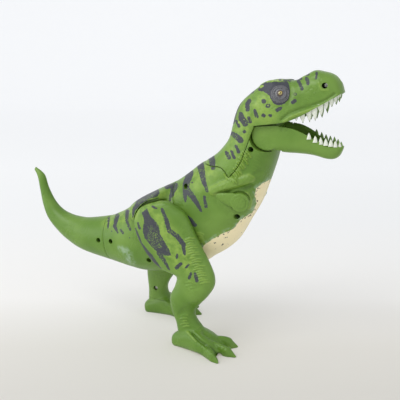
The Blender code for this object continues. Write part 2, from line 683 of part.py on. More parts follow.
def head():
    """Head halves: nape shell, cheeks, hollow cranium, palate, upper teeth and the inner pivot lugs."""
    form = hide_loft("head_form", NAPE_START - 1, TIP, 0.0, 1.5)
    keep(form, prism("head_bound", head_outline(), -60.0, 60.0))
    for side in (-1, 1):
        join(form, dome("brow", BROW, BROW_AXES, side, 10))
        join(form, dome("eye", EYE, (EYE_RADIUS, EYE_RADIUS, EYE_RADIUS), side, 12))
    cavity = hide_loft("head_cavity", NAPE_START - 1, TIP - 1, WALL, 1)
    palate = [(x, z + PALATE_RISE + PALATE_THICKNESS) for x, z in LIP_LINE if x > PALATE_START]
    palate = [(PALATE_START, 150.0), (PALATE_START, palate[0][1] - 2.0)] + palate
    keep(cavity, prism("cavity_bound", [(0.0, 150.0)] + palate + [(182.0, 320.0), (0.0, 320.0)], -60.0, 60.0))
    hollow(form, [cavity], [Screw("head_screw", 157.0, 266.0, -15.0, -6.0, 9.0)])
    mouth = hide_loft("mouth_roof", 23, TIP - 1, LIP_THICKNESS, 1)
    roof = [(x, z + PALATE_RISE) for x, z in LIP_LINE]
    keep(mouth, prism("roof_bound", roof + [(182.0, 200.0), (122.0, 200.0)], -60.0, 60.0))
    cut(form, mouth)
    for side in (-1, 1):
        boolean(form, tooth_row("upper_teeth", UPPER_TOOTH_LINE, UPPER_TEETH, side, True, 0.18), 'UNION',
                'MANIFOLD')
        ends = sorted((side * LUG_IN, side * LUG_OUT))
        lug = prism("head_lug", [(101.0, 221.0), (103.0, 217.0), (107.0, 215.0), (111.0, 217.0),
                                 (113.0, 221.0),
                                 (118.0, 246.0), (118.0, 264.2), (106.0, 264.2), (103.0, 246.0)], ends[0],
                    ends[1])
        join(form, lug)
        cut(form, rod("lug_bore", (AXLE[0], ends[0] - 1.0, AXLE[1]), (AXLE[0], ends[1] + 1.0, AXLE[1]),
                      AXLE_RADIUS + GAP, 12))
    halves(form, "head")


def lower_jaw():
    """Lower jaw: two arms on the axle, an open trough and its teeth."""
    form = loft("jaw_form", [section_ring(values) for values in JAW])
    for side in (-1, 1):
        join(form, rod("jaw_disc", (AXLE[0], side * 17.0, AXLE[1]), (AXLE[0], side * JAW_ARM_OUT, AXLE[1]),
                       JAW_DISC_RADIUS, 24))
    trough = loft("jaw_trough", [section_ring(JAW[at], 2.6, 9.0, 8) for at in range(len(JAW) - 1)])
    cut(form, trough)
    cut(form, box("throat_room", (80.0, -JAW_ARM_IN, 190.0), (JAW_FLOOR_START, JAW_ARM_IN, 240.0)))
    for side in (-1, 1):
        cut(form, rod("jaw_bore", (AXLE[0], side * 17.0, AXLE[1]),
                      (AXLE[0], side * (AXLE_END + 0.3), AXLE[1]), AXLE_RADIUS + GAP, 12))
    for side in (-1, 1):
        boolean(form, tooth_row("lower_teeth", LOWER_TOOTH_LINE, LOWER_TEETH, side, False, 0.12), 'UNION',
                'MANIFOLD')
    as_part(form, "lower_jaw")


def foot_form(name, heel, heading, side, length):
    """A foot of three clawed toes; side is the figure's side, heading the foot's turn in degrees."""
    turn = math.radians(heading)
    ahead = Vector((math.cos(turn), math.sin(turn), 0.0))
    out = Vector((-math.sin(turn), math.cos(turn), 0.0)) * side
    scale = length / TOES[1][1][0]
    origin = Vector((heel[0], heel[1], 0.0))

    def ring(along, beside, low, high, width, way, sides, squareness):
        across = Vector((-way.y, way.x, 0.0)) * width
        centre = origin + ahead * along * scale + out * beside + Vector((0.0, 0.0, (low + high) / 2))
        return super_ring(centre, Vector((0.0, 0.0, (high - low) / 2)), across, squareness, sides)

    body = loft(name, [ring(s, 0.0, low, high, width, ahead, 10, 2.5) for s, low, high, width in FOOT])
    for index, (root, tip) in enumerate(TOES):
        way = (ahead * (tip[0] - root[0]) + out * (tip[1] - root[1])).normalized()
        rings = []
        for share, low, high, width in TOE:
            along = root[0] + (tip[0] - root[0]) * share
            beside = root[1] + (tip[1] - root[1]) * share
            rings.append(ring(along, beside, low, high, width, way, 7, 2.3))
        join(body, loft("%s_toe_%d" % (name, index), rings))
    return body


def leg(name, side, table, heel, heading, length, seam_z, shank_screw, thigh_screw):
    """A leg: outer moulding with the foot, inner cover with the hip stub, and their screws."""
    def ring(values, inset, sides):
        rear = Vector((values[0], 0.0, values[1]))
        front = Vector((values[2], 0.0, values[3]))
        middle = (rear + front) / 2 + Vector((0.0, side * values[4], 0.0))
        half = (front - rear) / 2
        half = half.normalized() * max(half.length - inset, 0.5)
        return super_ring(middle, half, Vector((0.0, values[5] - inset, 0.0)), 2.3, sides)

    def leg_loft(loft_name, first, last, inset, sides):
        return loft(loft_name, [ring(values, inset, sides) for values in table[first:last]])

    def block(block_name, near, far, low_z):
        ends = sorted((side * near, side * far))
        return box(block_name, (-120.0, ends[0], low_z), (140.0, ends[1], 220.0))

    def disc(disc_name, near, far, radius):
        return rod(disc_name, (HIP[0], side * near, HIP[1]), (HIP[0], side * far, HIP[1]), radius, 24)

    form = leg_loft(name + "_form", 0, len(table), 0.0, 12)
    join(form, foot_form(name + "_foot", heel, heading, side, length))
    cut(form, half_space(name + "_floor", (0.0, 0.0, 0.0), (0.0, 0.0, -1.0)))
    cut(form, disc(name + "_flat", 15.0, LEG_FLAT, LEG_FLAT_RADIUS))
    cavity = leg_loft(name + "_cavity", 2, 12, LEG_WALL, 8)
    cut(cavity, disc(name + "_plate", 10.0, LEG_FLAT + LEG_WALL, LEG_FLAT_RADIUS + LEG_WALL))
    shank_in = 29.5
    screws = [
        Screw(name + "_shank_screw", shank_screw[0], shank_screw[1], side * shank_in, side * 33.0,
              side * 43.5),
        Screw(name + "_thigh_screw", thigh_screw[0], thigh_screw[1], side * LEG_FLAT, side * 38.6,
              side * 45.0),
    ]
    cut(cavity, disc(name + "_hip_core", 20.0, 60.0, HIP_STUB_RADIUS))
    hollow(form, [cavity], screws)
    inner = copy_of(form, name + "_inner_form")
    cut(form, block(name + "_cover_room", 10.0, LEG_SPLIT + GAP / 2, seam_z))
    keep(inner, block(name + "_cover_bound", 10.0, LEG_SPLIT - GAP / 2, seam_z + GAP))
    stub_end = 27.6
    join(inner, rod(name + "_stub", (HIP[0], side * stub_end, HIP[1]),
                    (HIP[0], side * (LEG_FLAT + 1.0), HIP[1]), HIP_STUB_RADIUS, 16))
    pilot = rod(name + "_hip_pilot", (HIP[0], side * 20.0, HIP[1]), (HIP[0], side * 44.0, HIP[1]),
                PILOT_RADIUS + 0.2, 10)
    cut(inner, pilot)
    cut(form, pilot)
    as_part(form, name + "_outer")
    as_part(inner, name + "_inner")
    hip_washer(name, side)
    Screw(name + "_hip_screw", HIP[0], HIP[1], side * 20.0, side * 26.0, side * 43.0).fit()


def hip_washer(name, side):
    """Washer that holds the hip stub in the pelvis boss."""
    ends = (side * 26.2, side * 27.3)
    washer = rod(name + "_hip_washer_form", (HIP[0], ends[0], HIP[1]), (HIP[0], ends[1], HIP[1]), 10.0, 20)
    cut(washer, rod(name + "_washer_hole", (HIP[0], side * 20.0, HIP[1]), (HIP[0], side * 40.0, HIP[1]),
                    1.6, 10))
    as_part(washer, name + "_hip_washer", METAL)


def arm(name, side):
    """An arm on its tilted pivot, with the stub and the screw that hold it in the chest wall."""
    place = arm_matrix(side)
    form = arm_form(name + "_form", place)
    join(form, rod(name + "_stub", place @ Vector((0.0, 0.0, 1.0)), place @ Vector((0.0, 0.0, -9.0)),
                   ARM_STUB_RADIUS, 12))
    cut(form, rod(name + "_pilot", place @ Vector((0.0, 0.0, -12.0)), place @ Vector((0.0, 0.0, 4.0)),
                  PILOT_RADIUS, 8))
    as_part(form, name)
    profile = [(0.0, -10.7), (5.2, -10.7), (5.2, -9.4), (SCREW_SHANK_RADIUS, -9.4),
               (SCREW_SHANK_RADIUS, 1.6), (0.0, 3.0)]
    turned(name + "_screw", profile, place, 12)


# Each moving group: its joint, the joint that carries it, a point on its axis, and its pieces
JOINTS = [
    ("tail_joint", None, (-73.0, 0.0, 94.9), ["tail_right", "tail_left", "tail_screw"]),
    ("waist_joint", None, (21.0, 0.0, 123.75), ["torso_right", "torso_left", "torso_back_screw",
                                                "torso_belly_screw", "torso_neck_screw", "neck_axle"]),
    ("head_joint", "waist_joint", (AXLE[0], 0.0, AXLE[1]), ["head_right", "head_left", "head_screw"]),
    ("jaw_joint", "waist_joint", (AXLE[0], 0.0, AXLE[1]), ["lower_jaw"]),
    ("arm_right_joint", "waist_joint", (ARM_PIVOT[0], -ARM_PIVOT[1], ARM_PIVOT[2]),
     ["arm_right", "arm_right_screw"]),
    ("arm_left_joint", "waist_joint", ARM_PIVOT, ["arm_left", "arm_left_screw"]),
    ("hip_right_joint", None, (HIP[0], -36.0, HIP[1]), ["leg_right_outer", "leg_right_inner",
                                                        "leg_right_shank_screw",
                                                        "leg_right_thigh_screw", "leg_right_hip_washer",
                                                        "leg_right_hip_screw"]),
    ("hip_left_joint", None, (HIP[0], 36.0, HIP[1]), ["leg_left_outer", "leg_left_inner",
                                                      "leg_left_shank_screw",
                                                      "leg_left_thigh_screw", "leg_left_hip_washer",
                                                      "leg_left_hip_screw"]),
]


def hang_on_joints():
    """Give every moving piece its origin on its joint's axis, parented to an empty there."""
    places = {}
    for name, carrier, point, pieces in JOINTS:
        place = (Vector(point) - Vector((CENTRE[0], CENTRE[1], 0.0))) * MM
        empty = bpy.data.objects.new(name, None)
        PARTS.objects.link(empty)
        empty.empty_display_size = 0.01
        empty.location = place - places[carrier][1] if carrier else place
        if carrier:
            empty.parent = places[carrier][0]
        places[name] = (empty, place)
        for piece in pieces:
            obj = PARTS.objects[piece]
            obj.data.transform(Matrix.Translation(-place))
            obj.parent = empty


tail()
pelvis()
torso()
head()
lower_jaw()
arm("arm_right", 1)
arm("arm_left", -1)
leg("leg_right", -1, RIGHT_LEG, (14.0, -34.0), -8.0, 73.0, 26.0, (28.0, 40.0), (10.0, 96.0))
leg("leg_left", 1, LEFT_LEG, (-53.0, 35.0), 8.0, 68.0, 18.0, (-36.5, 31.0), (-12.0, 96.0))
hang_on_joints()
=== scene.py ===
"""Looks of a toy dinosaur figure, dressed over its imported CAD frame.

Forms are drawn in millimetres in the figure's own frame (x to the snout, y to its left, z up) and placed
in metres. The hide is lofted from the sections of the animal and sculpted; its paint is laid out as a
hand painter sees the figure from its display side, and mirrored on the far side.
"""
import logging
import math
from dataclasses import dataclass, field
from enum import Enum
from functools import lru_cache
from typing import Callable, Dict, List, Optional, Sequence, Tuple

import bmesh
import bpy
import numpy as np
from mathutils import Matrix, Vector


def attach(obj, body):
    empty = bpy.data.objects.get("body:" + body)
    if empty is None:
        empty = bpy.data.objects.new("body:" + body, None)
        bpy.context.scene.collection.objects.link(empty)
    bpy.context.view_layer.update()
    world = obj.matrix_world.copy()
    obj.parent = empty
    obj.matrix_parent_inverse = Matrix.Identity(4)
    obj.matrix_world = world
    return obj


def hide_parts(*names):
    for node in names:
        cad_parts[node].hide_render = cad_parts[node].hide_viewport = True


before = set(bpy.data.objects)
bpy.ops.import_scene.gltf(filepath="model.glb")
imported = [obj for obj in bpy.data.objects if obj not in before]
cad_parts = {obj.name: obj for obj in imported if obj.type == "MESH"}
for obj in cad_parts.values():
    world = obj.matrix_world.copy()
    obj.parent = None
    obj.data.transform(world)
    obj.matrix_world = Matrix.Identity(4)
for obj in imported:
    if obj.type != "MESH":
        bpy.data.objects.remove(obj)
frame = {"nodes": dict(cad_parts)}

logging.basicConfig(level=logging.INFO, format="%(message)s")
LOG = logging.getLogger("toy_dinosaur")
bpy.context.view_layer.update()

Colour = Tuple[float, float, float, float]
Points = np.ndarray
Form = bpy.types.Object
Socket = bpy.types.NodeSocket

MM = 0.001
# Middle of the figure's outer box on the floor, in the figure's own frame
CENTRE = np.array((1.503, 0.195, 0.0))
MIDDLE_GAP = 0.2
SEAM_GAP = 0.4
NAPE_GAP = 0.8
WALL = 2.5
FAR = 400.0

# Sections from the tail tip to the snout: top x, z, bottom x, z, half width, squareness
HIDE = np.array([
    (-170.0, 167.0, -171.5, 163.5, 1.6, 2.0), (-159.5, 159.0, -167.5, 156.0, 3.8, 2.0),
    (-155.0, 145.0, -164.5, 140.0, 5.0, 2.0), (-148.0, 131.0, -161.0, 124.0, 7.0, 2.0),
    (-139.0, 121.5, -155.0, 110.0, 9.2, 2.0), (-128.0, 116.5, -143.0, 97.0, 11.5, 2.0),
    (-116.0, 114.5, -128.0, 86.0, 14.0, 2.0), (-103.0, 114.5, -107.0, 77.0, 17.0, 2.1),
    (-76.0, 119.6, -70.0, 70.2, 22.3, 2.1), (-64.5, 124.2, -58.5, 68.6, 25.0, 2.2),
    (-52.0, 131.0, -46.0, 66.5, 28.0, 2.2), (-37.0, 143.0, -27.0, 65.0, 31.5, 2.3),
    (-19.0, 153.0, 2.0, 68.0, 33.5, 2.3), (6.0, 165.5, 36.0, 82.0, 34.3, 2.3),
    (21.0, 176.0, 48.0, 91.5, 34.5, 2.4), (33.0, 185.5, 60.0, 101.5, 34.3, 2.5),
    (45.0, 193.0, 74.0, 115.0, 33.0, 2.5), (53.5, 200.0, 86.0, 133.0, 31.0, 2.5),
    (61.5, 210.0, 96.0, 151.0, 28.5, 2.4), (65.0, 218.0, 103.0, 170.0, 27.0, 2.3),
    (67.0, 227.0, 109.5, 190.0, 25.8, 2.3), (70.0, 238.0, 114.0, 207.0, 25.6, 2.4),
    (76.0, 248.5, 119.0, 220.0, 26.4, 2.8), (88.0, 259.5, 130.0, 221.5, 26.8, 2.9),
    (103.0, 270.0, 137.0, 221.6, 25.3, 2.7), (116.0, 270.5, 146.0, 226.6, 21.6, 2.7),
    (129.0, 270.0, 153.8, 231.0, 18.5, 2.8), (136.5, 274.0, 160.7, 235.0, 17.0, 2.8),
    (145.0, 280.0, 167.3, 239.0, 16.0, 2.8), (155.0, 278.5, 172.7, 244.5, 14.2, 2.7),
    (163.5, 275.0, 175.5, 250.0, 11.0, 2.5), (170.5, 269.0, 174.2, 258.0, 4.5, 2.0),
])
TAIL_SEAM = 8
WAIST_SEAM = 13
NAPE_START = 15
NECK_TOP = 22
TIP = len(HIDE) - 1
NAPE_EDGE = [
    (18.0, 197.0), (35.0, 189.0), (50.0, 187.0), (60.0, 187.2), (65.5, 184.5), (71.5, 178.5),
    (76.5, 184.5), (82.0, 193.0), (86.0, 205.0), (89.5, 216.0), (94.0, 228.0),
]
NAPE_CORNERS = (5, 10)
LIP_LINE = [
    (122.0, 232.0), (129.0, 234.4), (140.0, 239.9), (148.0, 244.6),
    (155.0, 248.8), (163.0, 253.6), (169.0, 257.3), (182.0, 266.0),
]
ABOVE_HEAD = [(182.0, 310.0), (18.0, 310.0)]
# Lower jaw sections: top x, z, bottom x, z, half width, squareness
JAW = np.array([
    (104.0, 229.0, 104.0, 205.0, 21.3, 4.4), (116.0, 228.8, 112.5, 203.2, 21.3, 4.2),
    (127.0, 227.4, 124.0, 202.2, 21.0, 3.6), (135.0, 224.8, 133.0, 201.8, 20.0, 3.0),
    (142.5, 221.0, 143.0, 201.2, 18.2, 2.8), (148.5, 217.0, 151.5, 199.9, 16.0, 2.8),
    (156.0, 214.3, 159.5, 197.8, 14.0, 2.8), (163.5, 212.0, 166.5, 197.8, 11.3, 2.8),
    (170.5, 211.0, 171.0, 200.8, 7.5, 2.5), (174.5, 210.0, 173.5, 206.0, 3.0, 2.0),
])
# Teeth of one side: root x, z, distance from the middle, height
UPPER_TEETH = [
    (132.4, 236.1, 18.8, 2.6), (137.5, 239.2, 17.5, 8.0), (143.1, 242.2, 16.3, 9.8),
    (147.9, 244.6, 15.5, 11.0), (153.3, 248.0, 14.4, 9.8), (158.0, 250.9, 13.2, 6.6),
    (162.3, 253.5, 11.8, 6.8), (165.6, 255.7, 9.6, 6.3), (167.9, 256.8, 7.2, 3.8), (168.9, 257.6, 3.4, 2.8),
]
LOWER_TEETH = [
    (144.6, 218.2, 16.4, 4.8), (150.1, 215.2, 14.4, 5.4), (154.8, 213.4, 12.5, 5.6),
    (159.3, 212.4, 11.0, 5.6), (163.6, 211.5, 9.2, 6.0), (167.5, 210.8, 7.0, 5.0), (171.0, 210.2, 4.0, 3.6),
]
AXLE = (107.0, 221.0)
# Middle of the jaw's round cheek, its radius, and the room round it
JAW_CHEEK = (105.3, 219.3)
JAW_DISC_RADIUS = 15.2
JAW_ROOM = 1.0
# Leg sections, hip to ankle: rear x, z, front x, z, centre distance from the middle, half thickness
RIGHT_LEG = np.array([
    (-12.0, 146.5, 3.0, 151.5, 40.0, 4.0), (-20.5, 140.5, 12.0, 151.0, 39.6, 7.2),
    (-26.0, 128.0, 24.0, 144.5, 39.0, 9.2), (-24.0, 115.0, 32.0, 138.0, 39.0, 9.8),
    (-18.0, 104.0, 41.0, 120.0, 39.0, 10.0), (-8.0, 90.0, 49.0, 105.0, 39.0, 10.0),
    (5.0, 81.0, 57.0, 90.0, 39.0, 10.0), (20.0, 76.0, 61.0, 78.0, 38.8, 10.2),
    (19.0, 66.0, 60.0, 68.0, 38.5, 10.6), (13.5, 54.0, 53.0, 57.0, 38.0, 11.0),
    (13.5, 44.0, 45.0, 48.0, 37.5, 10.0), (15.5, 35.0, 39.5, 40.0, 37.0, 8.6),
    (19.0, 26.0, 41.0, 31.0, 36.5, 8.3), (21.0, 14.0, 50.0, 20.0, 36.2, 9.0),
])
LEFT_LEG = np.array([
    (-4.0, 151.3, 12.0, 151.3, 40.0, 4.0), (-14.0, 147.0, 23.0, 146.0, 39.6, 7.2),
    (-22.5, 137.5, 30.0, 135.5, 39.0, 9.2), (-27.0, 126.0, 32.5, 121.0, 39.0, 9.8),
    (-32.0, 111.0, 28.0, 104.0, 39.0, 10.0), (-38.0, 97.0, 19.0, 88.0, 39.0, 10.0),
    (-44.0, 84.0, 8.0, 75.0, 39.0, 10.0), (-48.0, 72.0, -4.0, 65.0, 38.8, 10.2),
    (-50.0, 60.0, -12.0, 57.0, 38.5, 10.6), (-50.0, 48.0, -18.0, 47.0, 38.0, 10.6),
    (-49.0, 38.0, -24.0, 37.5, 37.5, 9.6), (-48.0, 29.0, -25.5, 29.5, 37.0, 8.6),
    (-48.0, 20.0, -22.0, 22.0, 36.5, 8.3), (-48.5, 10.0, -14.0, 14.0, 36.2, 9.0),
])
HIP = (3.0, 123.0)
# Turn about the hip that brings the left thigh to where the right one stands
LEFT_LEG_TURN = math.radians(67.0)
FOOT = np.array([
    (0.0, 3.0, 9.0, 3.5), (3.0, -1.5, 12.5, 8.0), (11.0, -1.5, 17.0, 10.5), (24.0, -1.5, 23.0, 13.5),
    (37.0, -1.5, 19.5, 16.0), (48.0, -1.5, 12.5, 15.5), (56.0, -1.0, 5.0, 9.0),
])
TOE = np.array([
    (0.0, -1.5, 13.5, 5.6), (0.35, -1.5, 11.5, 5.0), (0.72, -1.5, 9.6, 4.5),
    (0.83, -1.2, 6.6, 2.8), (1.0, 0.2, 1.6, 0.6),
])
TOES = [((38.0, 7.0), (64.0, 21.0)), ((38.0, 0.0), (73.0, 0.0)), ((38.0, -7.0), (64.0, -22.0))]
ARM_PIVOT = (82.0, 27.0, 155.0)
ARM_AXIS = (0.30, -0.95, -0.03)
ARM_REST = (-0.96, 0.0, 0.28)
ARM_DISC_RADIUS = 9.0
ARM = np.array([
    (-1.0, 7.6, 1.4, 6.4), (8.0, 7.0, 1.4, 6.4), (15.0, 5.0, 1.6, 6.0),
    (20.0, 3.4, 2.0, 5.4), (23.5, 1.4, 2.8, 4.4),
])
EYE = (117.6, 257.6)
RECESS_RADIUS = 2.7
# Screws of the body shells: x, z and the depth at which the head seats
TAIL_SCREWS = [(-80.0, 96.5, 9.0)]
PELVIS_SCREWS = [(-62.8, 98.0, 10.0), (-16.0, 84.0, 12.0)]
TORSO_SCREWS = [(25.0, 165.0, 9.0), (78.5, 139.0, 12.0), (91.5, 205.5, 11.0)]
HEAD_SCREWS = [(157.0, 266.0, 6.0)]


class Surface(Enum):
    """Which of the two slots of a moulded piece a face takes."""

    PAINTED = 0
    BARE = 1


class Side(Enum):
    """Side of the figure, as the sign of y."""

    RIGHT = -1
    LEFT = 1


@dataclass(frozen=True)
class DisplayView:
    """The painter's view of the figure: from ahead of its right side, a little above."""

    eye: Tuple[float, float, float] = (0.284247, -0.633865, 0.30371)
    tilt: float = math.radians(77.0)
    turn: float = math.radians(22.0)
    lens: float = 61.31
    sensor: float = 36.0
    frame: float = 400.0

    def axes(self) -> Tuple[Points, Points, Points]:
        """Right, up and backward directions of the view.

        Returns:
            The three directions, each of length 1.
        """
        turn = Matrix.Rotation(self.turn, 3, 'Z') @ Matrix.Rotation(self.tilt, 3, 'X')
        rows = np.array(turn.transposed())
        return rows[0], rows[1], rows[2]

    def seen(self, points: Points) -> Points:
        """Place of each point in the view, as if on its near side.

        Args:
            points: places in the figure's frame, in millimetres.

        Returns:
            An array of right and down distances on the view's square of 400 units.
        """
        near = np.array(points, float)
        near[:, 1] = -np.abs(near[:, 1])
        offset = (near - CENTRE) * MM - np.array(self.eye)
        right, up, back = self.axes()
        depth = -(offset @ back)
        scale = self.frame * self.lens / self.sensor / depth
        return np.stack((self.frame / 2 + offset @ right * scale, self.frame / 2 - offset @ up * scale), 1)


@dataclass(frozen=True)
class Brushwork:
    """Strokes of one paint or chisel, as runs of (right, down, half width) on the display view."""

    strokes: Sequence[Sequence[Tuple[float, float, float]]]

    def depth(self, seen: Points) -> Points:
        """How far inside the strokes each point lies; negative outside.

        Args:
            seen: places on the display view.

        Returns:
            One distance for each point, in view units.
        """
        best = np.full(len(seen), -60.0)
        for stroke in self.strokes:
            run = list(stroke) if len(stroke) > 1 else [stroke[0], stroke[0]]
            for start, end in zip(run, run[1:]):
                a = np.array(start[:2])
                b = np.array(end[:2])
                along = b - a
                length = max(float(along @ along), 1e-9)
                share = np.clip(((seen - a) @ along) / length, 0.0, 1.0)
                reach = start[2] + (end[2] - start[2]) * share
                best = np.maximum(best, reach - np.linalg.norm(seen - a - share[:, None] * along, axis=1))
        return best


@dataclass(frozen=True)
class PaintedPatch:
    """A patch of paint bounded by a closed outline on the display view."""

    outline: Sequence[Tuple[float, float]]

    def depth(self, seen: Points) -> Points:
        """How far inside the outline each point lies; negative outside.

        Args:
            seen: places on the display view.

        Returns:
            One distance for each place, in view units.
        """
        inside = np.zeros(len(seen), bool)
        nearest = np.full(len(seen), 60.0)
        x = seen[:, 0]
        y = seen[:, 1]
        for (ax, ay), (bx, by) in zip(self.outline, list(self.outline[1:]) + [self.outline[0]]):
            along = np.array((bx - ax, by - ay))
            share = np.clip(((x - ax) * along[0] + (y - ay) * along[1]) / max(float(along @ along), 1e-9),
                            0.0, 1.0)
            nearest = np.minimum(nearest, np.hypot(x - ax - share * along[0], y - ay - share * along[1]))
            if ay != by:
                crossing = (ay > y) != (by > y)
                inside ^= crossing & (x < (bx - ax) * (y - ay) / (by - ay) + ax)
        return np.where(inside, nearest, -nearest)


VIEW = DisplayView()

HIDE_STRIPES = Brushwork((
    ((108.8, 217.5, 1.2), (107.9, 228.0, 0.8)),
    ((117.4, 215.5, 2.2), (114.6, 226.3, 1.7), (117.9, 233.0, 0.8)),
    ((111.7, 231.3, 1.0),),
    ((121.0, 230.0, 1.3), (122.8, 232.8, 1.2)),
    ((127.4, 211.5, 2.0), (126.6, 220.5, 1.5), (130.3, 229.7, 1.1)),
    ((129.5, 237.9, 0.9),),
    ((132.8, 237.5, 0.7),),
    ((132.8, 217.2, 0.7), (133.7, 209.8, 1.6), (140.0, 201.0, 3.2), (147.7, 195.4, 4.2), (154.8, 192.4, 4.6)),
    ((166.5, 187.0, 2.0), (175.5, 185.5, 2.8)),
    ((174.3, 188.0, 2.8), (171.5, 195.0, 2.2), (169.7, 200.4, 1.0)),
    ((190.2, 172.5, 3.4), (186.2, 184.0, 3.5), (185.2, 193.0, 2.5), (185.5, 202.0, 0.8)),
    ((187.5, 190.0, 3.0), (192.0, 196.0, 2.8), (197.2, 203.5, 2.2), (201.3, 211.3, 1.1)),
    ((192.4, 182.6, 1.0),),
    ((200.2, 164.5, 3.6), (202.0, 172.0, 3.2), (203.5, 181.0, 2.4), (207.4, 191.5, 1.2)),
    ((204.3, 196.4, 1.2), (206.0, 206.3, 1.7)),
    ((211.5, 157.5, 3.2), (212.5, 164.0, 3.0), (213.0, 168.0, 2.2)),
    ((188.5, 217.2, 1.6), (195.0, 225.1, 2.0)),
    ((226.4, 152.6, 1.8), (229.0, 157.6, 2.1)),
    ((231.4, 151.4, 1.4), (234.2, 157.6, 1.7)),
    ((235.7, 145.6, 1.3), (238.5, 151.8, 1.7)),
    ((231.8, 133.4, 2.0), (236.0, 136.2, 2.9), (240.6, 140.2, 3.0)),
    ((244.6, 131.6, 1.8),),
    ((240.8, 113.4, 1.9), (241.6, 118.4, 3.2), (245.2, 123.4, 3.3)),
    ((236.4, 120.8, 1.2), (239.0, 126.4, 1.5)),
    ((233.4, 123.0, 1.0), (235.6, 110.5, 1.8), (240.0, 101.5, 1.9), (246.0, 95.0, 1.6), (253.0, 91.6, 1.2)),
    ((249.6, 100.4, 1.9), (247.4, 104.5, 2.4), (247.6, 109.3, 2.2)),
    ((254.6, 110.8, 1.7), (257.0, 116.8, 1.8)),
    ((248.8, 117.6, 1.6), (250.4, 121.8, 1.7)),
    ((263.3, 115.5, 2.3),), ((270.2, 115.5, 1.9),), ((263.7, 101.2, 2.4),), ((268.0, 105.8, 2.3),),
    ((276.8, 110.6, 1.7), (280.6, 108.3, 1.8)),
    ((292.6, 102.6, 1.9), (295.0, 100.8, 1.9)), ((295.1, 94.0, 1.5),),
    ((298.4, 80.6, 1.7), (302.0, 88.8, 1.7)),
    ((306.8, 78.4, 1.7), (308.1, 83.6, 1.7)), ((307.6, 73.9, 2.2),),
    ((316.9, 72.8, 1.2), (315.9, 78.6, 0.9)),
    ((294.0, 79.2, 1.1), (301.0, 78.6, 1.3)),
    ((277.0, 79.6, 0.9), (290.0, 80.8, 1.2)),
))
EYE_PATCH = PaintedPatch((
    (258.2, 89.0), (261.5, 84.9), (265.6, 81.9), (270.2, 82.4), (274.8, 81.5), (281.4, 81.9), (286.4, 81.6),
    (288.4, 82.4), (289.2, 85.7), (290.2, 89.8), (289.9, 94.8), (288.2, 99.8), (285.1, 103.4), (281.4, 105.0),
    (277.2, 105.4), (273.5, 103.4), (271.0, 99.8), (269.6, 96.5), (266.9, 93.6), (263.1, 91.6), (258.6, 91.1),
))
BROW_DABS = Brushwork((
    ((260.8, 87.2, 1.0), (262.6, 85.8, 1.0)), ((267.3, 81.3, 1.3),), ((272.6, 80.3, 1.3),),
    ((277.6, 80.3, 1.2),), ((282.2, 80.0, 1.0),), ((239.0, 122.4, 1.1),), ((244.0, 119.6, 0.6),),
    ((268.1, 105.5, 0.9),), ((295.1, 94.0, 0.8),),
))
THIGH_PATCH = PaintedPatch((
    (141.5, 212.7), (147.0, 208.5), (150.6, 216.4), (156.7, 222.4), (159.1, 227.3), (159.7, 233.3),
    (163.9, 240.6), (169.0, 249.3), (171.2, 255.8), (165.2, 255.2), (159.1, 253.9), (154.2, 249.1),
    (149.4, 244.2), (144.5, 238.2), (142.7, 230.9), (143.9, 220.0),
))
THIGH_STRIPES = Brushwork((
    ((159.1, 253.0, 2.4), (165.2, 262.4, 1.6), (169.4, 269.7, 0.9)),
    ((162.1, 209.1, 1.4), (166.4, 220.0, 2.0), (169.0, 230.5, 2.2), (177.0, 236.0, 2.4),
     (183.3, 244.5, 2.3), (184.5, 254.0, 1.3)),
    ((135.5, 228.5, 0.7), (140.9, 243.0, 1.1), (150.6, 256.4, 2.0), (160.3, 268.5, 1.1)),
    ((152.4, 206.6, 1.1), (156.0, 208.2, 1.2)), ((138.0, 223.0, 0.9), (139.6, 228.5, 1.1)),
    ((177.3, 254.8, 1.3), (176.8, 257.8, 1.2)), ((180.8, 263.6, 1.6), (176.8, 267.6, 2.0)),
    ((186.0, 267.4, 1.1), (188.6, 264.8, 1.2)), ((191.0, 273.4, 1.3), (189.2, 278.0, 1.4)),
    ((195.0, 273.6, 1.3), (196.8, 280.6, 1.9)),
))
BELLY_PATCH = PaintedPatch((
    (262.0, 183.6), (256.5, 188.5), (254.9, 194.5), (256.6, 203.6), (252.0, 213.0), (240.4, 219.6),
    (233.9, 228.6), (222.4, 233.6), (213.2, 238.9), (205.0, 244.4), (200.5, 249.6), (204.0, 256.0),
    (208.4, 264.5), (214.0, 272.0), (300.0, 300.0), (300.0, 190.0), (272.0, 178.5),
))
WARM_AREAS = Brushwork((
    ((150.0, 215.0, 10.0), (165.0, 240.0, 14.0), (184.0, 262.0, 10.0)),
    ((110.0, 222.0, 6.0), (130.0, 214.0, 7.0), (150.0, 200.0, 5.0), (175.0, 192.0, 5.0)),
    ((195.0, 180.0, 9.0), (207.0, 172.0, 8.0)),
    ((233.0, 152.0, 6.0), (242.0, 128.0, 7.0), (252.0, 108.0, 9.0), (268.0, 98.0, 8.0)),
))
# Pale marks low on the pelvis: scuff marks, and painted light where light falls from the left.
SCUFFS_AND_SHEEN = Brushwork((
    ((119.5, 247.5, 1.5), (125.0, 251.0, 3.0), (129.0, 255.0, 2.6), (131.0, 262.0, 1.4)),
    ((127.0, 259.5, 2.0), (134.0, 263.5, 1.0)),
))


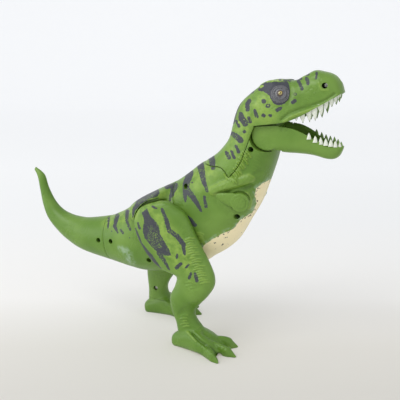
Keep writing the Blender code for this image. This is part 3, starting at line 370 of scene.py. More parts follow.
def wrinkle_fan(start: Tuple[float, float], end: Tuple[float, float], heading: Tuple[float, float],
                count: int, length: float) -> List[List[Tuple[float, float, float]]]:
    """A row of short parallel wrinkles that leave a line.

    Args:
        start: first end of the line on the display view.
        end: last end of the line.
        heading: direction of each wrinkle.
        count: number of wrinkles.
        length: length of the longest wrinkle.

    Returns:
        The wrinkles as strokes.
    """
    fans = []
    for index in range(count):
        share = index / max(count - 1, 1)
        shift = 0.12 * length * math.sin(3.7 * index + 0.4)
        x = start[0] + (end[0] - start[0]) * share + heading[0] * shift
        y = start[1] + (end[1] - start[1]) * share + heading[1] * shift
        reach = length * (0.78 + 0.22 * math.sin(2.1 * index + 0.7))
        bend = 0.09 * reach
        middle = (x + heading[0] * reach / 2 + heading[1] * bend,
                  y + heading[1] * reach / 2 - heading[0] * bend, 0.42)
        fans.append([(x, y, 0.1), middle, (x + heading[0] * reach, y + heading[1] * reach, 0.05)])
    return fans


@dataclass(frozen=True)
class Chisel:
    """One kind of sculpted line: raised or sunk along strokes, with a soft shoulder."""

    strokes: Brushwork
    height: float
    softness: float

    def relief(self, seen: Points) -> Points:
        """Height that the lines add at each point of the view."""
        outside = np.maximum(-self.strokes.depth(seen), 0.0)
        return self.height * np.exp(-(outside / self.softness) ** 2)


@dataclass(frozen=True)
class Swelling:
    """A rounded muscle or bony form: its middle (with y as a distance from the middle), half axes, height."""

    middle: Tuple[float, float, float]
    axes: Tuple[float, float, float]
    height: float

    def relief(self, points: Points) -> Points:
        """Height that the form adds at each point of the figure.

        Args:
            points: places in the figure's frame, in millimetres.

        Returns:
            One height for each place.
        """
        offset = np.array(points, float)
        offset[:, 1] = np.abs(offset[:, 1])
        offset = (offset - np.array(self.middle)) / np.array(self.axes)
        return self.height * np.exp(-(offset * offset).sum(1))


@dataclass(frozen=True)
class SeamValley:
    """A soft valley beside a seam that is drawn in side view."""

    line: Sequence[Tuple[float, float]]
    depth: float
    softness: float

    def relief(self, points: Points) -> Points:
        """Height that the valley takes away at each point of the figure.

        Args:
            points: places in the figure's frame, in millimetres.

        Returns:
            One height for each place, zero or negative.
        """
        run = Brushwork([[(x, z, 0.0) for x, z in self.line]])
        away = -run.depth(points[:, (0, 2)])
        return -self.depth * np.exp(-(away / self.softness) ** 2)


def chisels(*rows: Tuple[float, float, Sequence[Sequence[Tuple[float, float, float]]]]) -> Tuple[Chisel, ...]:
    """Sculpted lines from rows of height, softness and strokes."""
    return tuple(Chisel(Brushwork(strokes), height, softness) for height, softness, strokes in rows)


SEAM_VALLEYS = (
    SeamValley(NAPE_EDGE, 0.7, 1.1),
    SeamValley([(HIDE[13][0], HIDE[13][1]), (HIDE[13][2], HIDE[13][3])], 0.6, 1.2),
    SeamValley([(HIDE[8][0], HIDE[8][1]), (HIDE[8][2], HIDE[8][3])], 0.35, 0.8),
)
BODY_CHISELS = chisels(
    (2.6, 3.0, (((213.0, 191.0, 1.2), (222.0, 187.0, 1.8), (235.0, 183.2, 2.2), (250.0, 178.5, 1.2)),)),
    (-2.4, 2.4, (((221.0, 195.5, 0.4), (232.0, 192.0, 0.9), (243.0, 189.4, 1.2), (250.0, 186.5, 0.6)),)),
    (-0.9, 3.0, (((206.0, 196.0, 0.5), (214.0, 200.0, 0.8), (220.0, 208.0, 0.8), (228.0, 214.0, 0.4)),)),
    (1.7, 0.75, wrinkle_fan((231.4, 176.0), (244.6, 150.0), (0.66, 0.75), 13, 9.5)),
    (1.5, 0.75, wrinkle_fan((224.0, 174.0), (231.6, 178.0), (0.55, 0.83), 4, 7.0)),
    (0.5, 0.7, wrinkle_fan((196.0, 232.5), (200.0, 244.0), (0.97, 0.22), 6, 8.0)),
    (0.28, 0.8, wrinkle_fan((256.0, 150.0), (252.0, 170.0), (0.9, 0.4), 7, 9.0)),
    (1.5, 1.8, (((232.0, 192.4, 0.6), (239.0, 191.0, 1.2), (246.0, 194.4, 1.4), (249.6, 201.0, 1.0),
                 (249.0, 207.0, 0.5)),)),
    (-0.6, 1.2, (((250.5, 176.0, 0.4), (262.0, 171.0, 0.5)),
                 ((253.0, 185.0, 0.4), (256.4, 196.0, 0.5), (255.0, 204.0, 0.3)),)),
)
HEAD_CHISELS = chisels(
    (-1.3, 1.1, (((281.4, 119.6, 0.2), (289.7, 113.0, 0.5), (301.3, 108.9, 0.5), (313.7, 105.0, 0.5),
                  (325.4, 100.6, 0.5), (334.8, 94.0, 0.3)),)),
    (0.8, 1.1, (((284.0, 121.4, 0.3), (292.0, 116.6, 0.6), (303.0, 112.4, 0.7), (316.0, 108.0, 0.7),
                 (328.0, 103.2, 0.6)),)),
    (1.3, 1.5, (((262.0, 86.5, 0.6), (268.0, 81.8, 1.0), (278.0, 80.4, 1.1), (288.0, 80.4, 0.5)),)),
    (-0.7, 1.6, (((290.5, 84.0, 0.3), (291.6, 94.0, 0.5), (288.0, 103.5, 0.4)),)),
    (-0.45, 1.4, (((259.0, 92.6, 0.2), (266.5, 97.5, 0.5), (271.0, 105.4, 0.4), (277.4, 108.2, 0.2)),)),
    (-0.5, 2.0, (((296.0, 83.6, 0.3), (306.0, 80.6, 0.5), (314.0, 80.8, 0.3)),)),
    (0.55, 1.0, (((318.6, 82.4, 0.3), (321.2, 89.8, 0.4), (328.6, 90.2, 0.2)),)),
    (-0.5, 1.4, (((250.0, 96.5, 0.2), (256.0, 100.0, 0.4), (260.5, 109.0, 0.3)),)),
)
HIDE_FORMS = (
    Swelling((109.0, 16.5, 266.0), (12.0, 5.0, 4.0), 1.5),
    Swelling((66.0, 0.0, 103.0), (26.0, 26.0, 20.0), 3.4),
    Swelling((108.0, 4.0, 270.5), (17.0, 15.0, 6.0), -1.7),
    Swelling((117.6, 21.0, 257.6), (7.8, 8.0, 7.2), -1.5),
    Swelling((106.0, 26.0, 238.0), (12.0, 9.0, 9.0), 0.9),
    Swelling((132.5, 0.0, 272.0), (6.0, 14.0, 5.0), 1.3),
    Swelling((149.0, 0.0, 281.0), (11.0, 14.0, 6.0), -1.2),
    Swelling((176.0, 0.0, 264.0), (8.0, 14.0, 14.0), -1.5),
)
THIGH_CHISELS = chisels(
    (0.6, 0.62, wrinkle_fan((184.5, 240.0), (199.0, 284.0), (0.985, -0.17), 20, 11.5)),
    (0.5, 0.65, wrinkle_fan((185.0, 283.0), (189.0, 288.5), (1.0, -0.05), 3, 8.0)),
    (-0.5, 2.2, (((186.0, 284.0, 0.5), (192.0, 287.5, 0.8), (199.0, 287.0, 0.5)),)),
    (0.55, 0.65, wrinkle_fan((180.5, 316.0), (182.5, 327.0), (1.0, -0.12), 5, 8.0)),
    (-0.9, 2.6, (((193.0, 306.0, 0.6), (184.0, 311.0, 1.0), (180.0, 315.0, 0.5)),)),
)
FOOT_CHISELS = chisels(
    (-2.6, 1.5, (((192.0, 332.6, 0.0), (199.0, 340.0, 0.4), (212.0, 349.0, 0.6), (219.5, 356.5, 0.5)),)),
    (-2.0, 1.5, (((204.0, 333.0, 0.0), (211.0, 337.5, 0.3), (218.0, 340.4, 0.5), (228.0, 345.0, 0.4)),)),
    (0.6, 1.0, (((187.0, 331.5, 0.6), (191.5, 336.0, 0.8), (196.0, 341.0, 0.4)),)),
    (0.32, 0.6, wrinkle_fan((197.0, 329.0), (224.0, 352.0), (0.7, -0.6), 11, 4.5)),
)


def body_relief(points: Points) -> Points:
    """Sculpted height of the hide at each point: shoulders, wrinkles, brows and lips.

    Args:
        points: places in the figure's frame, in millimetres.

    Returns:
        One height for each place.
    """
    seen = VIEW.seen(points)
    height = np.zeros(len(points))
    for chisel in BODY_CHISELS + HEAD_CHISELS:
        height += chisel.relief(seen)
    for form in HIDE_FORMS + SEAM_VALLEYS:
        height += form.relief(points)
    return height


def leg_relief(points: Points) -> Points:
    """Sculpted height of a leg, whose points are given as on the right side.

    Args:
        points: places in the figure's frame, in millimetres.

    Returns:
        One height for each place.
    """
    seen = VIEW.seen(points)
    height = np.zeros(len(points))
    outer = np.clip((np.abs(points[:, 1]) - 30.0) / 6.0, 0.0, 1.0)
    for chisel in THIGH_CHISELS + FOOT_CHISELS:
        height += chisel.relief(seen) * outer
    return height


def no_relief(points: Points) -> Points:
    """A smooth skin."""
    return np.zeros(len(points))


def catmull(table: Points, at: Points) -> Points:
    """Sections between the rows of a table, on a smooth curve.

    Args:
        table: one row of values for each section.
        at: places along the rows, such as 2.5 for halfway from row 2 to row 3.

    Returns:
        One row of values for each place.
    """
    index = np.clip(at.astype(int), 0, len(table) - 2)
    t = (at - index)[:, None]
    a = table[np.maximum(index - 1, 0)]
    b = table[index]
    c = table[index + 1]
    d = table[np.minimum(index + 2, len(table) - 1)]
    return 0.5 * (2 * b + (c - a) * t + (2 * a - 5 * b + 4 * c - d) * t ** 2
                  + (3 * b - a - 3 * c + d) * t ** 3)


def even_places(table: Points, start: float, end: float, spacing: float) -> Points:
    """Places along a table of sections that lie about as far apart as the spacing, in millimetres.

    Args:
        table: the sections.
        start: first place, as a fraction of the table's rows.
        end: last place.
        spacing: wanted distance.

    Returns:
        The places, from first to last.
    """
    fine = np.linspace(start, end, 600)
    rows = catmull(table, fine)
    middle = np.stack(((rows[:, 0] + rows[:, 2]) / 2, (rows[:, 1] + rows[:, 3]) / 2), 1)
    run = np.concatenate(([0.0], np.cumsum(np.linalg.norm(np.diff(middle, axis=0), axis=1))))
    count = max(int(run[-1] / spacing), 2)
    return np.interp(np.linspace(0.0, run[-1], count + 1), run, fine)


def smooth_line(points: Sequence[Tuple[float, float]], corners: Sequence[int] = (),
                steps: int = 6) -> List[Tuple[float, float]]:
    """A drawn line with its bends rounded, apart from its named corners.

    Args:
        points: the line's points.
        corners: positions of the points at which the line turns sharply.
        steps: new points for each stretch.

    Returns:
        The points of the finer line.
    """
    stops = sorted({0, len(points) - 1, *corners})
    fine: List[Tuple[float, float]] = []
    for first, last in zip(stops, stops[1:]):
        stretch = np.array(points[first:last + 1], float)
        at = np.linspace(0.0, len(stretch) - 1, (len(stretch) - 1) * steps + 1)
        rows = catmull(stretch, at)
        fine += [tuple(row) for row in rows[:-1]]
    return fine + [tuple(points[-1])]


def deselect() -> None:
    """Leave nothing selected."""
    if bpy.context.mode != 'OBJECT':
        bpy.ops.object.mode_set(mode='OBJECT')
    bpy.ops.object.select_all(action='DESELECT')


def activate(obj: Form) -> None:
    """Make one object the only selected and active one.

    Args:
        obj: the object.
    """
    deselect()
    obj.select_set(True)
    bpy.context.view_layer.objects.active = obj


def figure_points(obj: Form) -> Points:
    """The vertices of a placed mesh, in the figure's frame in millimetres.

    Args:
        obj: the mesh object.

    Returns:
        One row for each vertex.
    """
    flat = np.zeros(len(obj.data.vertices) * 3)
    obj.data.vertices.foreach_get("co", flat)
    return flat.reshape(-1, 3) / MM + CENTRE


def set_points(obj: Form, points: Points) -> None:
    """Move the vertices of a placed mesh to points of the figure's frame."""
    obj.data.vertices.foreach_set("co", ((points - CENTRE) * MM).ravel())
    obj.data.update()


def fill_slots(obj: Form, surface: Surface) -> None:
    """Give a form the painted and the bare slot, and set all its faces to one of them.

    Args:
        obj: the form.
        surface: the slot of its faces.
    """
    obj.data.materials.clear()
    obj.data.materials.append(material_of(Finish.PAINTED))
    obj.data.materials.append(material_of(Finish.BARE))
    obj.data.polygons.foreach_set("material_index", [surface.value] * len(obj.data.polygons))


def face_outward(mesh: bpy.types.Mesh) -> None:
    """Turn all faces of a closed mesh outward.

    Args:
        mesh: the mesh.
    """
    bm = bmesh.new()
    bm.from_mesh(mesh)
    bmesh.ops.recalc_face_normals(bm, faces=bm.faces)
    bm.to_mesh(mesh)
    bm.free()


def join(forms: Sequence[Form], name: str) -> Form:
    """Join forms into the first of them.

    Args:
        forms: the forms.
        name: name of the result.

    Returns:
        The first form, which holds them all.
    """
    deselect()
    for form in forms:
        form.select_set(True)
    bpy.context.view_layer.objects.active = forms[0]
    bpy.ops.object.join()
    forms[0].name = name
    return forms[0]


def mesh_form(name: str, points: Points, faces: List[Tuple[int, ...]], surface: Surface) -> Form:
    """A closed mesh from points of the figure's frame, with its faces turned outward.

    Args:
        name: name of the new object.
        points: its vertices, in millimetres.
        faces: its faces as vertex numbers.
        surface: the slot that its faces take.

    Returns:
        The new object, with its place in its mesh.
    """
    mesh = bpy.data.meshes.new(name)
    mesh.from_pydata(((points - CENTRE) * MM).tolist(), [], faces)
    face_outward(mesh)
    obj = bpy.data.objects.new(name, mesh)
    bpy.context.scene.collection.objects.link(obj)
    fill_slots(obj, surface)
    return obj


def tube_form(name: str, rings: Points, surface: Surface) -> Form:
    """A closed tube over rings of points, each end filled by a fan about its middle.

    Args:
        name: name of the new object.
        rings: an array of rings, each a row of points.
        surface: the slot of its skin.

    Returns:
        The new object; its faces come ring by ring, and the fans last.
    """
    rows, columns = rings.shape[:2]
    points = np.concatenate((rings.reshape(-1, 3), [rings[0].mean(0), rings[-1].mean(0)]))
    faces: List[Tuple[int, ...]] = []
    for row in range(rows - 1):
        for column in range(columns):
            near = row * columns + column
            beside = row * columns + (column + 1) % columns
            faces.append((near, beside, beside + columns, near + columns))
    for first, middle in ((0, rows * columns), ((rows - 1) * columns, rows * columns + 1)):
        faces += [(first + column, first + (column + 1) % columns, middle) for column in range(columns)]
    return mesh_form(name, points, faces, surface)


def power(values: Points, squareness: Points) -> Points:
    """Sine or cosine values squared off towards a rounded box."""
    return np.sign(values) * np.abs(values) ** (2.0 / squareness)


@dataclass
class SectionLoft:
    """A skin over the sections of a table: top x, z, bottom x, z, half width, squareness."""

    table: Points
    start: float
    end: float
    spacing: float = 1.0
    around: int = 84
    inset: float = 0.0
    lift: float = 0.0
    relief: Callable[[Points], Points] = no_relief
    shape: Optional[Callable[[Points, Side], Points]] = None

    def rings(self, angles: Points) -> Points:
        """Rings of the loft at the given angles from the top, as rows of points.

        Args:
            angles: angles round a section, in radians.

        Returns:
            Rings, points and coordinates.
        """
        values = catmull(self.table, even_places(self.table, self.start, self.end, self.spacing))
        top = np.stack((values[:, 0], 0 * values[:, 0], values[:, 1]), 1)
        bottom = np.stack((values[:, 2], 0 * values[:, 0], values[:, 3]), 1)
        spine = top - bottom
        spine /= np.linalg.norm(spine, axis=1)[:, None]
        top = top - spine * (self.inset - self.lift)
        bottom = bottom + spine * self.inset
        width = np.maximum(values[:, 4] - self.inset, 0.3)
        squareness = values[:, 5][:, None]
        high = power(np.cos(angles)[None, :], squareness)
        wide = power(np.sin(angles)[None, :], squareness)
        centre = ((top + bottom) / 2)[:, None, :]
        along = ((top - bottom) / 2)[:, None, :]
        across = np.array((0.0, 1.0, 0.0))[None, None, :] * width[:, None, None]
        return centre + along * high[:, :, None] + across * wide[:, :, None]

    def sculpt(self, rings: Points, flat_rows: Sequence[int]) -> Points:
        """Raise and sink the skin by the relief, along its normals.

        Args:
            rings: the points of the skin.
            flat_rows: columns that stay on the middle plane.

        Returns:
            The sculpted points.
        """
        down = np.gradient(rings, axis=0)
        across = np.gradient(rings, axis=1)
        normal = np.cross(down, across)
        normal /= np.maximum(np.linalg.norm(normal, axis=2), 1e-9)[:, :, None]
        outward = ((rings - rings.mean(axis=1, keepdims=True)) * normal).sum(2).mean()
        if outward < 0:
            normal = -normal
        for column in flat_rows:
            normal[:, column, 1] = 0.0
        height = self.relief(rings.reshape(-1, 3)).reshape(rings.shape[:2])
        return rings + normal * height[:, :, None]

    def half(self, name: str, side: Side) -> Form:
        """One side of the skin, closed by a flat face beside the middle plane.

        Args:
            name: name of the new object.
            side: side of the figure.

        Returns:
            The closed half; its skin is painted, its flat face and its ends are bare.
        """
        angles = np.linspace(0.0, math.pi, self.around // 2 + 1)
        rings = self.rings(angles)
        if self.shape is not None:
            rings = self.shape(rings.reshape(-1, 3), side).reshape(rings.shape)
        rings = self.sculpt(rings, (0, -1)) if self.relief is not no_relief else rings
        rings[:, :, 1] = side.value * np.maximum(np.abs(rings[:, :, 1]), MIDDLE_GAP)
        rows, columns = rings.shape[:2]
        obj = tube_form(name, rings, Surface.PAINTED)
        flat = [Surface.PAINTED.value] * len(obj.data.polygons)
        for number, polygon in enumerate(obj.data.polygons):
            if number % columns == columns - 1 or number >= (rows - 1) * columns:
                flat[number] = Surface.BARE.value
        obj.data.polygons.foreach_set("material_index", flat)
        return obj

    def whole(self, name: str) -> Form:
        """The whole skin as one closed, bare form."""
        angles = np.linspace(0.0, 2.0 * math.pi, self.around + 1)[:-1]
        return tube_form(name, self.rings(angles), Surface.BARE)


def place_of(point: Sequence[float]) -> Vector:
    """A point of the figure's frame as a place in the scene."""
    return Vector([(value - middle) * MM for value, middle in zip(point, CENTRE)])


def seat(obj: Form) -> Form:
    """Put an object's place into its mesh, so that it sits at the origin unturned.

    Args:
        obj: the object.

    Returns:
        The same object.
    """
    activate(obj)
    bpy.ops.object.transform_apply(location=True, rotation=True, scale=True)
    return obj


def bar(name: str, start: Sequence[float], end: Sequence[float], radius: float, sides: int = 48,
        end_radius: Optional[float] = None) -> Form:
    """A round bar or cone between two points of the figure's frame.

    Args:
        name: name of the new object.
        start: one end, in millimetres.
        end: the other end.
        radius: radius at the start.
        sides: number of faces round it.
        end_radius: radius at the end, if it tapers.

    Returns:
        The bar, bare of paint, with its place in its mesh.
    """
    deselect()
    a = place_of(start)
    b = place_of(end)
    turn = (b - a).to_track_quat('Z', 'Y').to_euler()
    bpy.ops.mesh.primitive_cone_add(vertices=sides, radius1=radius * MM,
                                    radius2=(radius if end_radius is None else end_radius) * MM,
                                    depth=(b - a).length, location=(a + b) / 2, rotation=turn)
    obj = bpy.context.active_object
    obj.name = name
    fill_slots(obj, Surface.BARE)
    return seat(obj)


def block(name: str, low: Sequence[float], high: Sequence[float]) -> Form:
    """A block between two corners of the figure's frame.

    Args:
        name: name of the form.
        low: its least x, y and z.
        high: its greatest.

    Returns:
        The block.
    """
    deselect()
    a = place_of(low)
    b = place_of(high)
    bpy.ops.mesh.primitive_cube_add(size=1.0, location=(a + b) / 2)
    obj = bpy.context.active_object
    obj.name = name
    obj.scale = b - a
    fill_slots(obj, Surface.BARE)
    return seat(obj)


def half_space(name: str, point: Sequence[float], normal: Sequence[float]) -> Form:
    """A large block on the side of a plane to which its normal points.

    Args:
        name: name of the form.
        point: a point of the plane.
        normal: the way to the block's side.

    Returns:
        The block.
    """
    deselect()
    bpy.ops.mesh.primitive_cube_add(size=FAR * MM)
    obj = bpy.context.active_object
    obj.name = name
    direction = Vector(normal).normalized()
    obj.rotation_euler = direction.to_track_quat('Z', 'Y').to_euler()
    obj.location = place_of(point) + direction * (FAR * MM / 2)
    fill_slots(obj, Surface.BARE)
    return seat(obj)


def arc(centre: Sequence[float], radius: float, start: float, end: float,
        count: int) -> List[Tuple[float, float]]:
    """Points of an arc in the side view.

    Args:
        centre: its centre in x and z.
        radius: its radius.
        start: first angle, in radians.
        end: last angle.
        count: number of points.

    Returns:
        The points, from the first angle to the last.
    """
    angles = np.linspace(start, end, count)
    return [(centre[0] + radius * math.cos(a), centre[1] + radius * math.sin(a)) for a in angles]


def prism(name: str, outline: Sequence[Tuple[float, float]], low: float, high: float) -> Form:
    """A side-view outline in x and z, extruded across the figure.

    Args:
        name: name of the form.
        outline: its corners.
        low: least y.
        high: greatest y.

    Returns:
        The prism.
    """
    count = len(outline)
    points = [(x, low, z) for x, z in outline] + [(x, high, z) for x, z in outline]
    faces: List[Tuple[int, ...]] = [tuple(range(count)), tuple(range(count, 2 * count))]
    faces += [(i, (i + 1) % count, count + (i + 1) % count, count + i) for i in range(count)]
    return mesh_form(name, np.array(points), faces, Surface.BARE)


def finish_with(obj: Form, kind: str, **values: object) -> None:
    """Add a modifier with its values and apply it.

    Args:
        obj: the form.
        kind: kind of modifier.
        values: its settings.
    """
    modifier = obj.modifiers.new(kind.lower(), kind)
    for key, value in values.items():
        setattr(modifier, key, value)
    activate(obj)
    bpy.ops.object.modifier_apply(modifier=modifier.name)


def carve(target: Form, cutter: Form, operation: str = 'DIFFERENCE') -> None:
    """Take a shape away from a form, or join or keep it, and discard the shape."""
    finish_with(target, 'BOOLEAN', operation=operation, object=cutter, solver='EXACT')
    bpy.data.objects.remove(cutter, do_unlink=True)


def fuse(name: str, forms: Sequence[Form], voxel: float, smooth: int) -> Form:
    """Melt overlapping closed forms into one skin and soften the joins.

    Args:
        name: name of the result.
        forms: the closed forms.
        voxel: size of the new faces, in millimetres.
        smooth: number of smoothing passes.

    Returns:
        The fused form, painted all over.
    """
    obj = join(forms, name)
    finish_with(obj, 'REMESH', mode='VOXEL', voxel_size=voxel * MM)
    finish_with(obj, 'SMOOTH', factor=0.5, iterations=smooth)
    fill_slots(obj, Surface.PAINTED)
    return obj


def sculpt_skin(obj: Form, relief: Callable[[Points], Points], to_right: Callable[[Points], Points]) -> None:
    """Raise and sink a finished skin along its normals by a relief drawn for the right side.

    Args:
        obj: the form.
        relief: height at each place.
        to_right: brings places to the right side.
    """
    points = figure_points(obj)
    normals = np.zeros(len(points) * 3)
    obj.data.vertex_normals.foreach_get("vector", normals)
    height = relief(to_right(points))
    set_points(obj, points + normals.reshape(-1, 3) * height[:, None])


def as_is(points: Points) -> Points:
    """Points of a piece that stands as the right side does."""
    return points


def left_leg_as_right(points: Points) -> Points:
    """Points of the left leg, turned about the hip to where the right leg stands.

    Args:
        points: places in the figure's frame, in millimetres.

    Returns:
        The same places, as they would lie on the right leg.
    """
    offset = points - np.array((HIP[0], 0.0, HIP[1]))
    c = math.cos(LEFT_LEG_TURN)
    s = math.sin(LEFT_LEG_TURN)
    turned = np.stack((offset[:, 0] * c - offset[:, 2] * s, offset[:, 1],
                       offset[:, 0] * s + offset[:, 2] * c), 1)
    return turned + np.array((HIP[0], 0.0, HIP[1]))


def store(obj: Form, name: str, values: Points) -> None:
    """Keep one number for each vertex as an attribute that the paint reads."""
    attribute = obj.data.attributes.new(name, 'FLOAT', 'POINT')
    attribute.data.foreach_set("value", values.astype(np.float32))


def lay_paint(obj: Form, stripes: Sequence[object], patches: Sequence[object],
              relief: Callable[[Points], Points],
              to_right: Callable[[Points], Points] = as_is) -> None:
    """Store where each kind of paint lies on a finished piece.

    Args:
        obj: the piece.
        stripes: brushwork and patches of the dark paint.
        patches: patches of the cream paint.
        relief: the sculpted height; light paint is brushed on its high places and painted shade darkens its
            hollows.
        to_right: turns the piece's points to where the right side stands.
    """
    points = to_right(figure_points(obj))
    seen = VIEW.seen(points)
    nothing = np.full(len(points), -60.0)
    dark = nothing
    for work in stripes:
        dark = np.maximum(dark, work.depth(seen))
    cream = nothing
    for work in patches:
        cream = np.maximum(cream, work.depth(seen))
    store(obj, "dark_paint", dark)
    store(obj, "cream_paint", cream)
    store(obj, "warm_paint", WARM_AREAS.depth(seen))
    store(obj, "light_dabs", BROW_DABS.depth(seen))
    store(obj, "scuffs", SCUFFS_AND_SHEEN.depth(seen))
    store(obj, "whole_paint", EYE_PATCH.depth(seen))
    store(obj, "raised", relief(points))


def settle(obj: Form, body: str, nodes: Sequence[str], sharp: float = 40.0) -> None:
    """Finish a piece: merge doubles, shade it, hang it on its body and hide the CAD nodes that it stands for.

    Args:
        obj: the piece, in place.
        body: the CAD body that carries it.
        nodes: the CAD nodes that it stands for.
        sharp: angle in degrees above which an edge stays sharp.
    """
    bm = bmesh.new()
    bm.from_mesh(obj.data)
    bmesh.ops.remove_doubles(bm, verts=bm.verts, dist=0.000002)
    bmesh.ops.dissolve_degenerate(bm, edges=bm.edges, dist=0.000002)
    bm.to_mesh(obj.data)
    bm.free()
    activate(obj)
    bpy.ops.object.shade_smooth_by_angle(angle=math.radians(sharp))
    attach(obj, body)
    if nodes:
        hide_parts(*nodes)
    LOG.info("%s: %d faces on %s", obj.name, len(obj.data.polygons), body)


class NodeBoard:
    """A small hand for laying out a node tree."""

    def __init__(self, tree: bpy.types.NodeTree) -> None:
        """Take the tree that is laid out."""
        self.tree = tree

    def add(self, kind: str, **values: object) -> bpy.types.Node:
        """Add a node and set its own properties.

        Args:
            kind: the node's type.
            values: its own properties.

        Returns:
            The node.
        """
        node = self.tree.nodes.new(kind)
        for key, value in values.items():
            setattr(node, key, value)
        return node

    def link(self, source: Socket, target: Socket) -> None:
        """Join an output to an input."""
        self.tree.links.new(source, target)

    def math(self, operation: str, first: object, second: object = 0.0, clamp: bool = False) -> Socket:
        """A sum, product or comparison of two sockets or numbers.

        Args:
            operation: the kind of sum.
            first: socket or number.
            second: socket or number.
            clamp: keep the result between 0 and 1.

        Returns:
            The result.
        """
        node = self.add('ShaderNodeMath', operation=operation, use_clamp=clamp)
        for socket, value in zip(node.inputs, (first, second)):
            self.feed(socket, value)
        return node.outputs[0]

    def times(self, first: object, second: object) -> Socket:
        """The product of two sockets or numbers."""
        return self.math('MULTIPLY', first, second)

    def plus(self, first: object, second: object, clamp: bool = False) -> Socket:
        """The sum of two sockets or numbers."""
        return self.math('ADD', first, second, clamp)

    def less(self, first: object, second: object) -> Socket:
        """The first socket or number less the second."""
        return self.math('SUBTRACT', first, second)

    def feed(self, socket: Socket, value: object) -> None:
        """Link a socket, or set a plain value.

        Args:
            socket: the socket to fill.
            value: socket, number or colour.
        """
        if isinstance(value, Socket):
            self.link(value, socket)
        else:
            socket.default_value = value

    def ramp(self, value: Socket, low: float, high: float) -> Socket:
        """A smooth step from 0 at the low value to 1 at the high value.

        Args:
            value: what the step follows.
            low: where it starts.
            high: where it ends.

        Returns:
            The step.
        """
        node = self.add('ShaderNodeMapRange', interpolation_type='SMOOTHSTEP')
        self.link(value, node.inputs["Value"])
        node.inputs["From Min"].default_value = low
        node.inputs["From Max"].default_value = high
        return node.outputs["Result"]

    def mix(self, share: object, first: object, second: object) -> Socket:
        """A blend of two colours.

        Args:
            share: share of the second colour.
            first: socket or colour.
            second: socket or colour.

        Returns:
            The blend.
        """
        node = self.add('ShaderNodeMix', data_type='RGBA')
        self.feed(node.inputs["Factor"], share)
        self.feed(node.inputs["A"], first)
        self.feed(node.inputs["B"], second)
        return node.outputs["Result"]

    def noise(self, coordinates: Socket, scale: object, detail: float, roughness: float = 0.55) -> Socket:
        """Cloudy noise in space.

        Args:
            coordinates: where it is read.
            scale: clouds in a metre.
            detail: finer layers.
            roughness: strength of the finer layers.

        Returns:
            The noise, from 0 to 1.
        """
        node = self.add('ShaderNodeTexNoise')
        self.link(coordinates, node.inputs["Vector"])
        self.feed(node.inputs["Scale"], scale)
        node.inputs["Detail"].default_value = detail
        node.inputs["Roughness"].default_value = roughness
        return node.outputs[0]

    def attribute(self, name: str) -> Socket:
        """A number stored on the mesh."""
        return self.add('ShaderNodeAttribute', attribute_name=name).outputs["Fac"]

    def place(self) -> Socket:
        """Place on the piece, by its object's coordinates."""
        return self.add('ShaderNodeTexCoord').outputs["Object"]

    def bump(self, shader: bpy.types.Node, height: Socket, strength: float, distance: float) -> None:
        """Give a shader the fine relief of its surface.

        Args:
            shader: the shader that takes the normal.
            height: the relief.
            strength: share of the relief that shows.
            distance: height of a full step, in metres.
        """
        bump = self.add('ShaderNodeBump')
        bump.inputs["Strength"].default_value = strength
        bump.inputs["Distance"].default_value = distance
        self.link(height, bump.inputs["Height"])
        self.link(bump.outputs["Normal"], shader.inputs["Normal"])

    def group(self, tree: bpy.types.NodeTree, **values: object) -> bpy.types.Node:
        """Place a shared group with its own values.

        Args:
            tree: the group.
            values: its inputs, with underscores for spaces.

        Returns:
            The group's node.
        """
        node = self.add('ShaderNodeGroup')
        node.node_tree = tree
        for key, value in values.items():
            self.feed(node.inputs[key.replace("_", " ")], value)
        return node


GroupParts = Tuple[bpy.types.NodeTree, NodeBoard, Dict[str, Socket], Dict[str, Socket]]


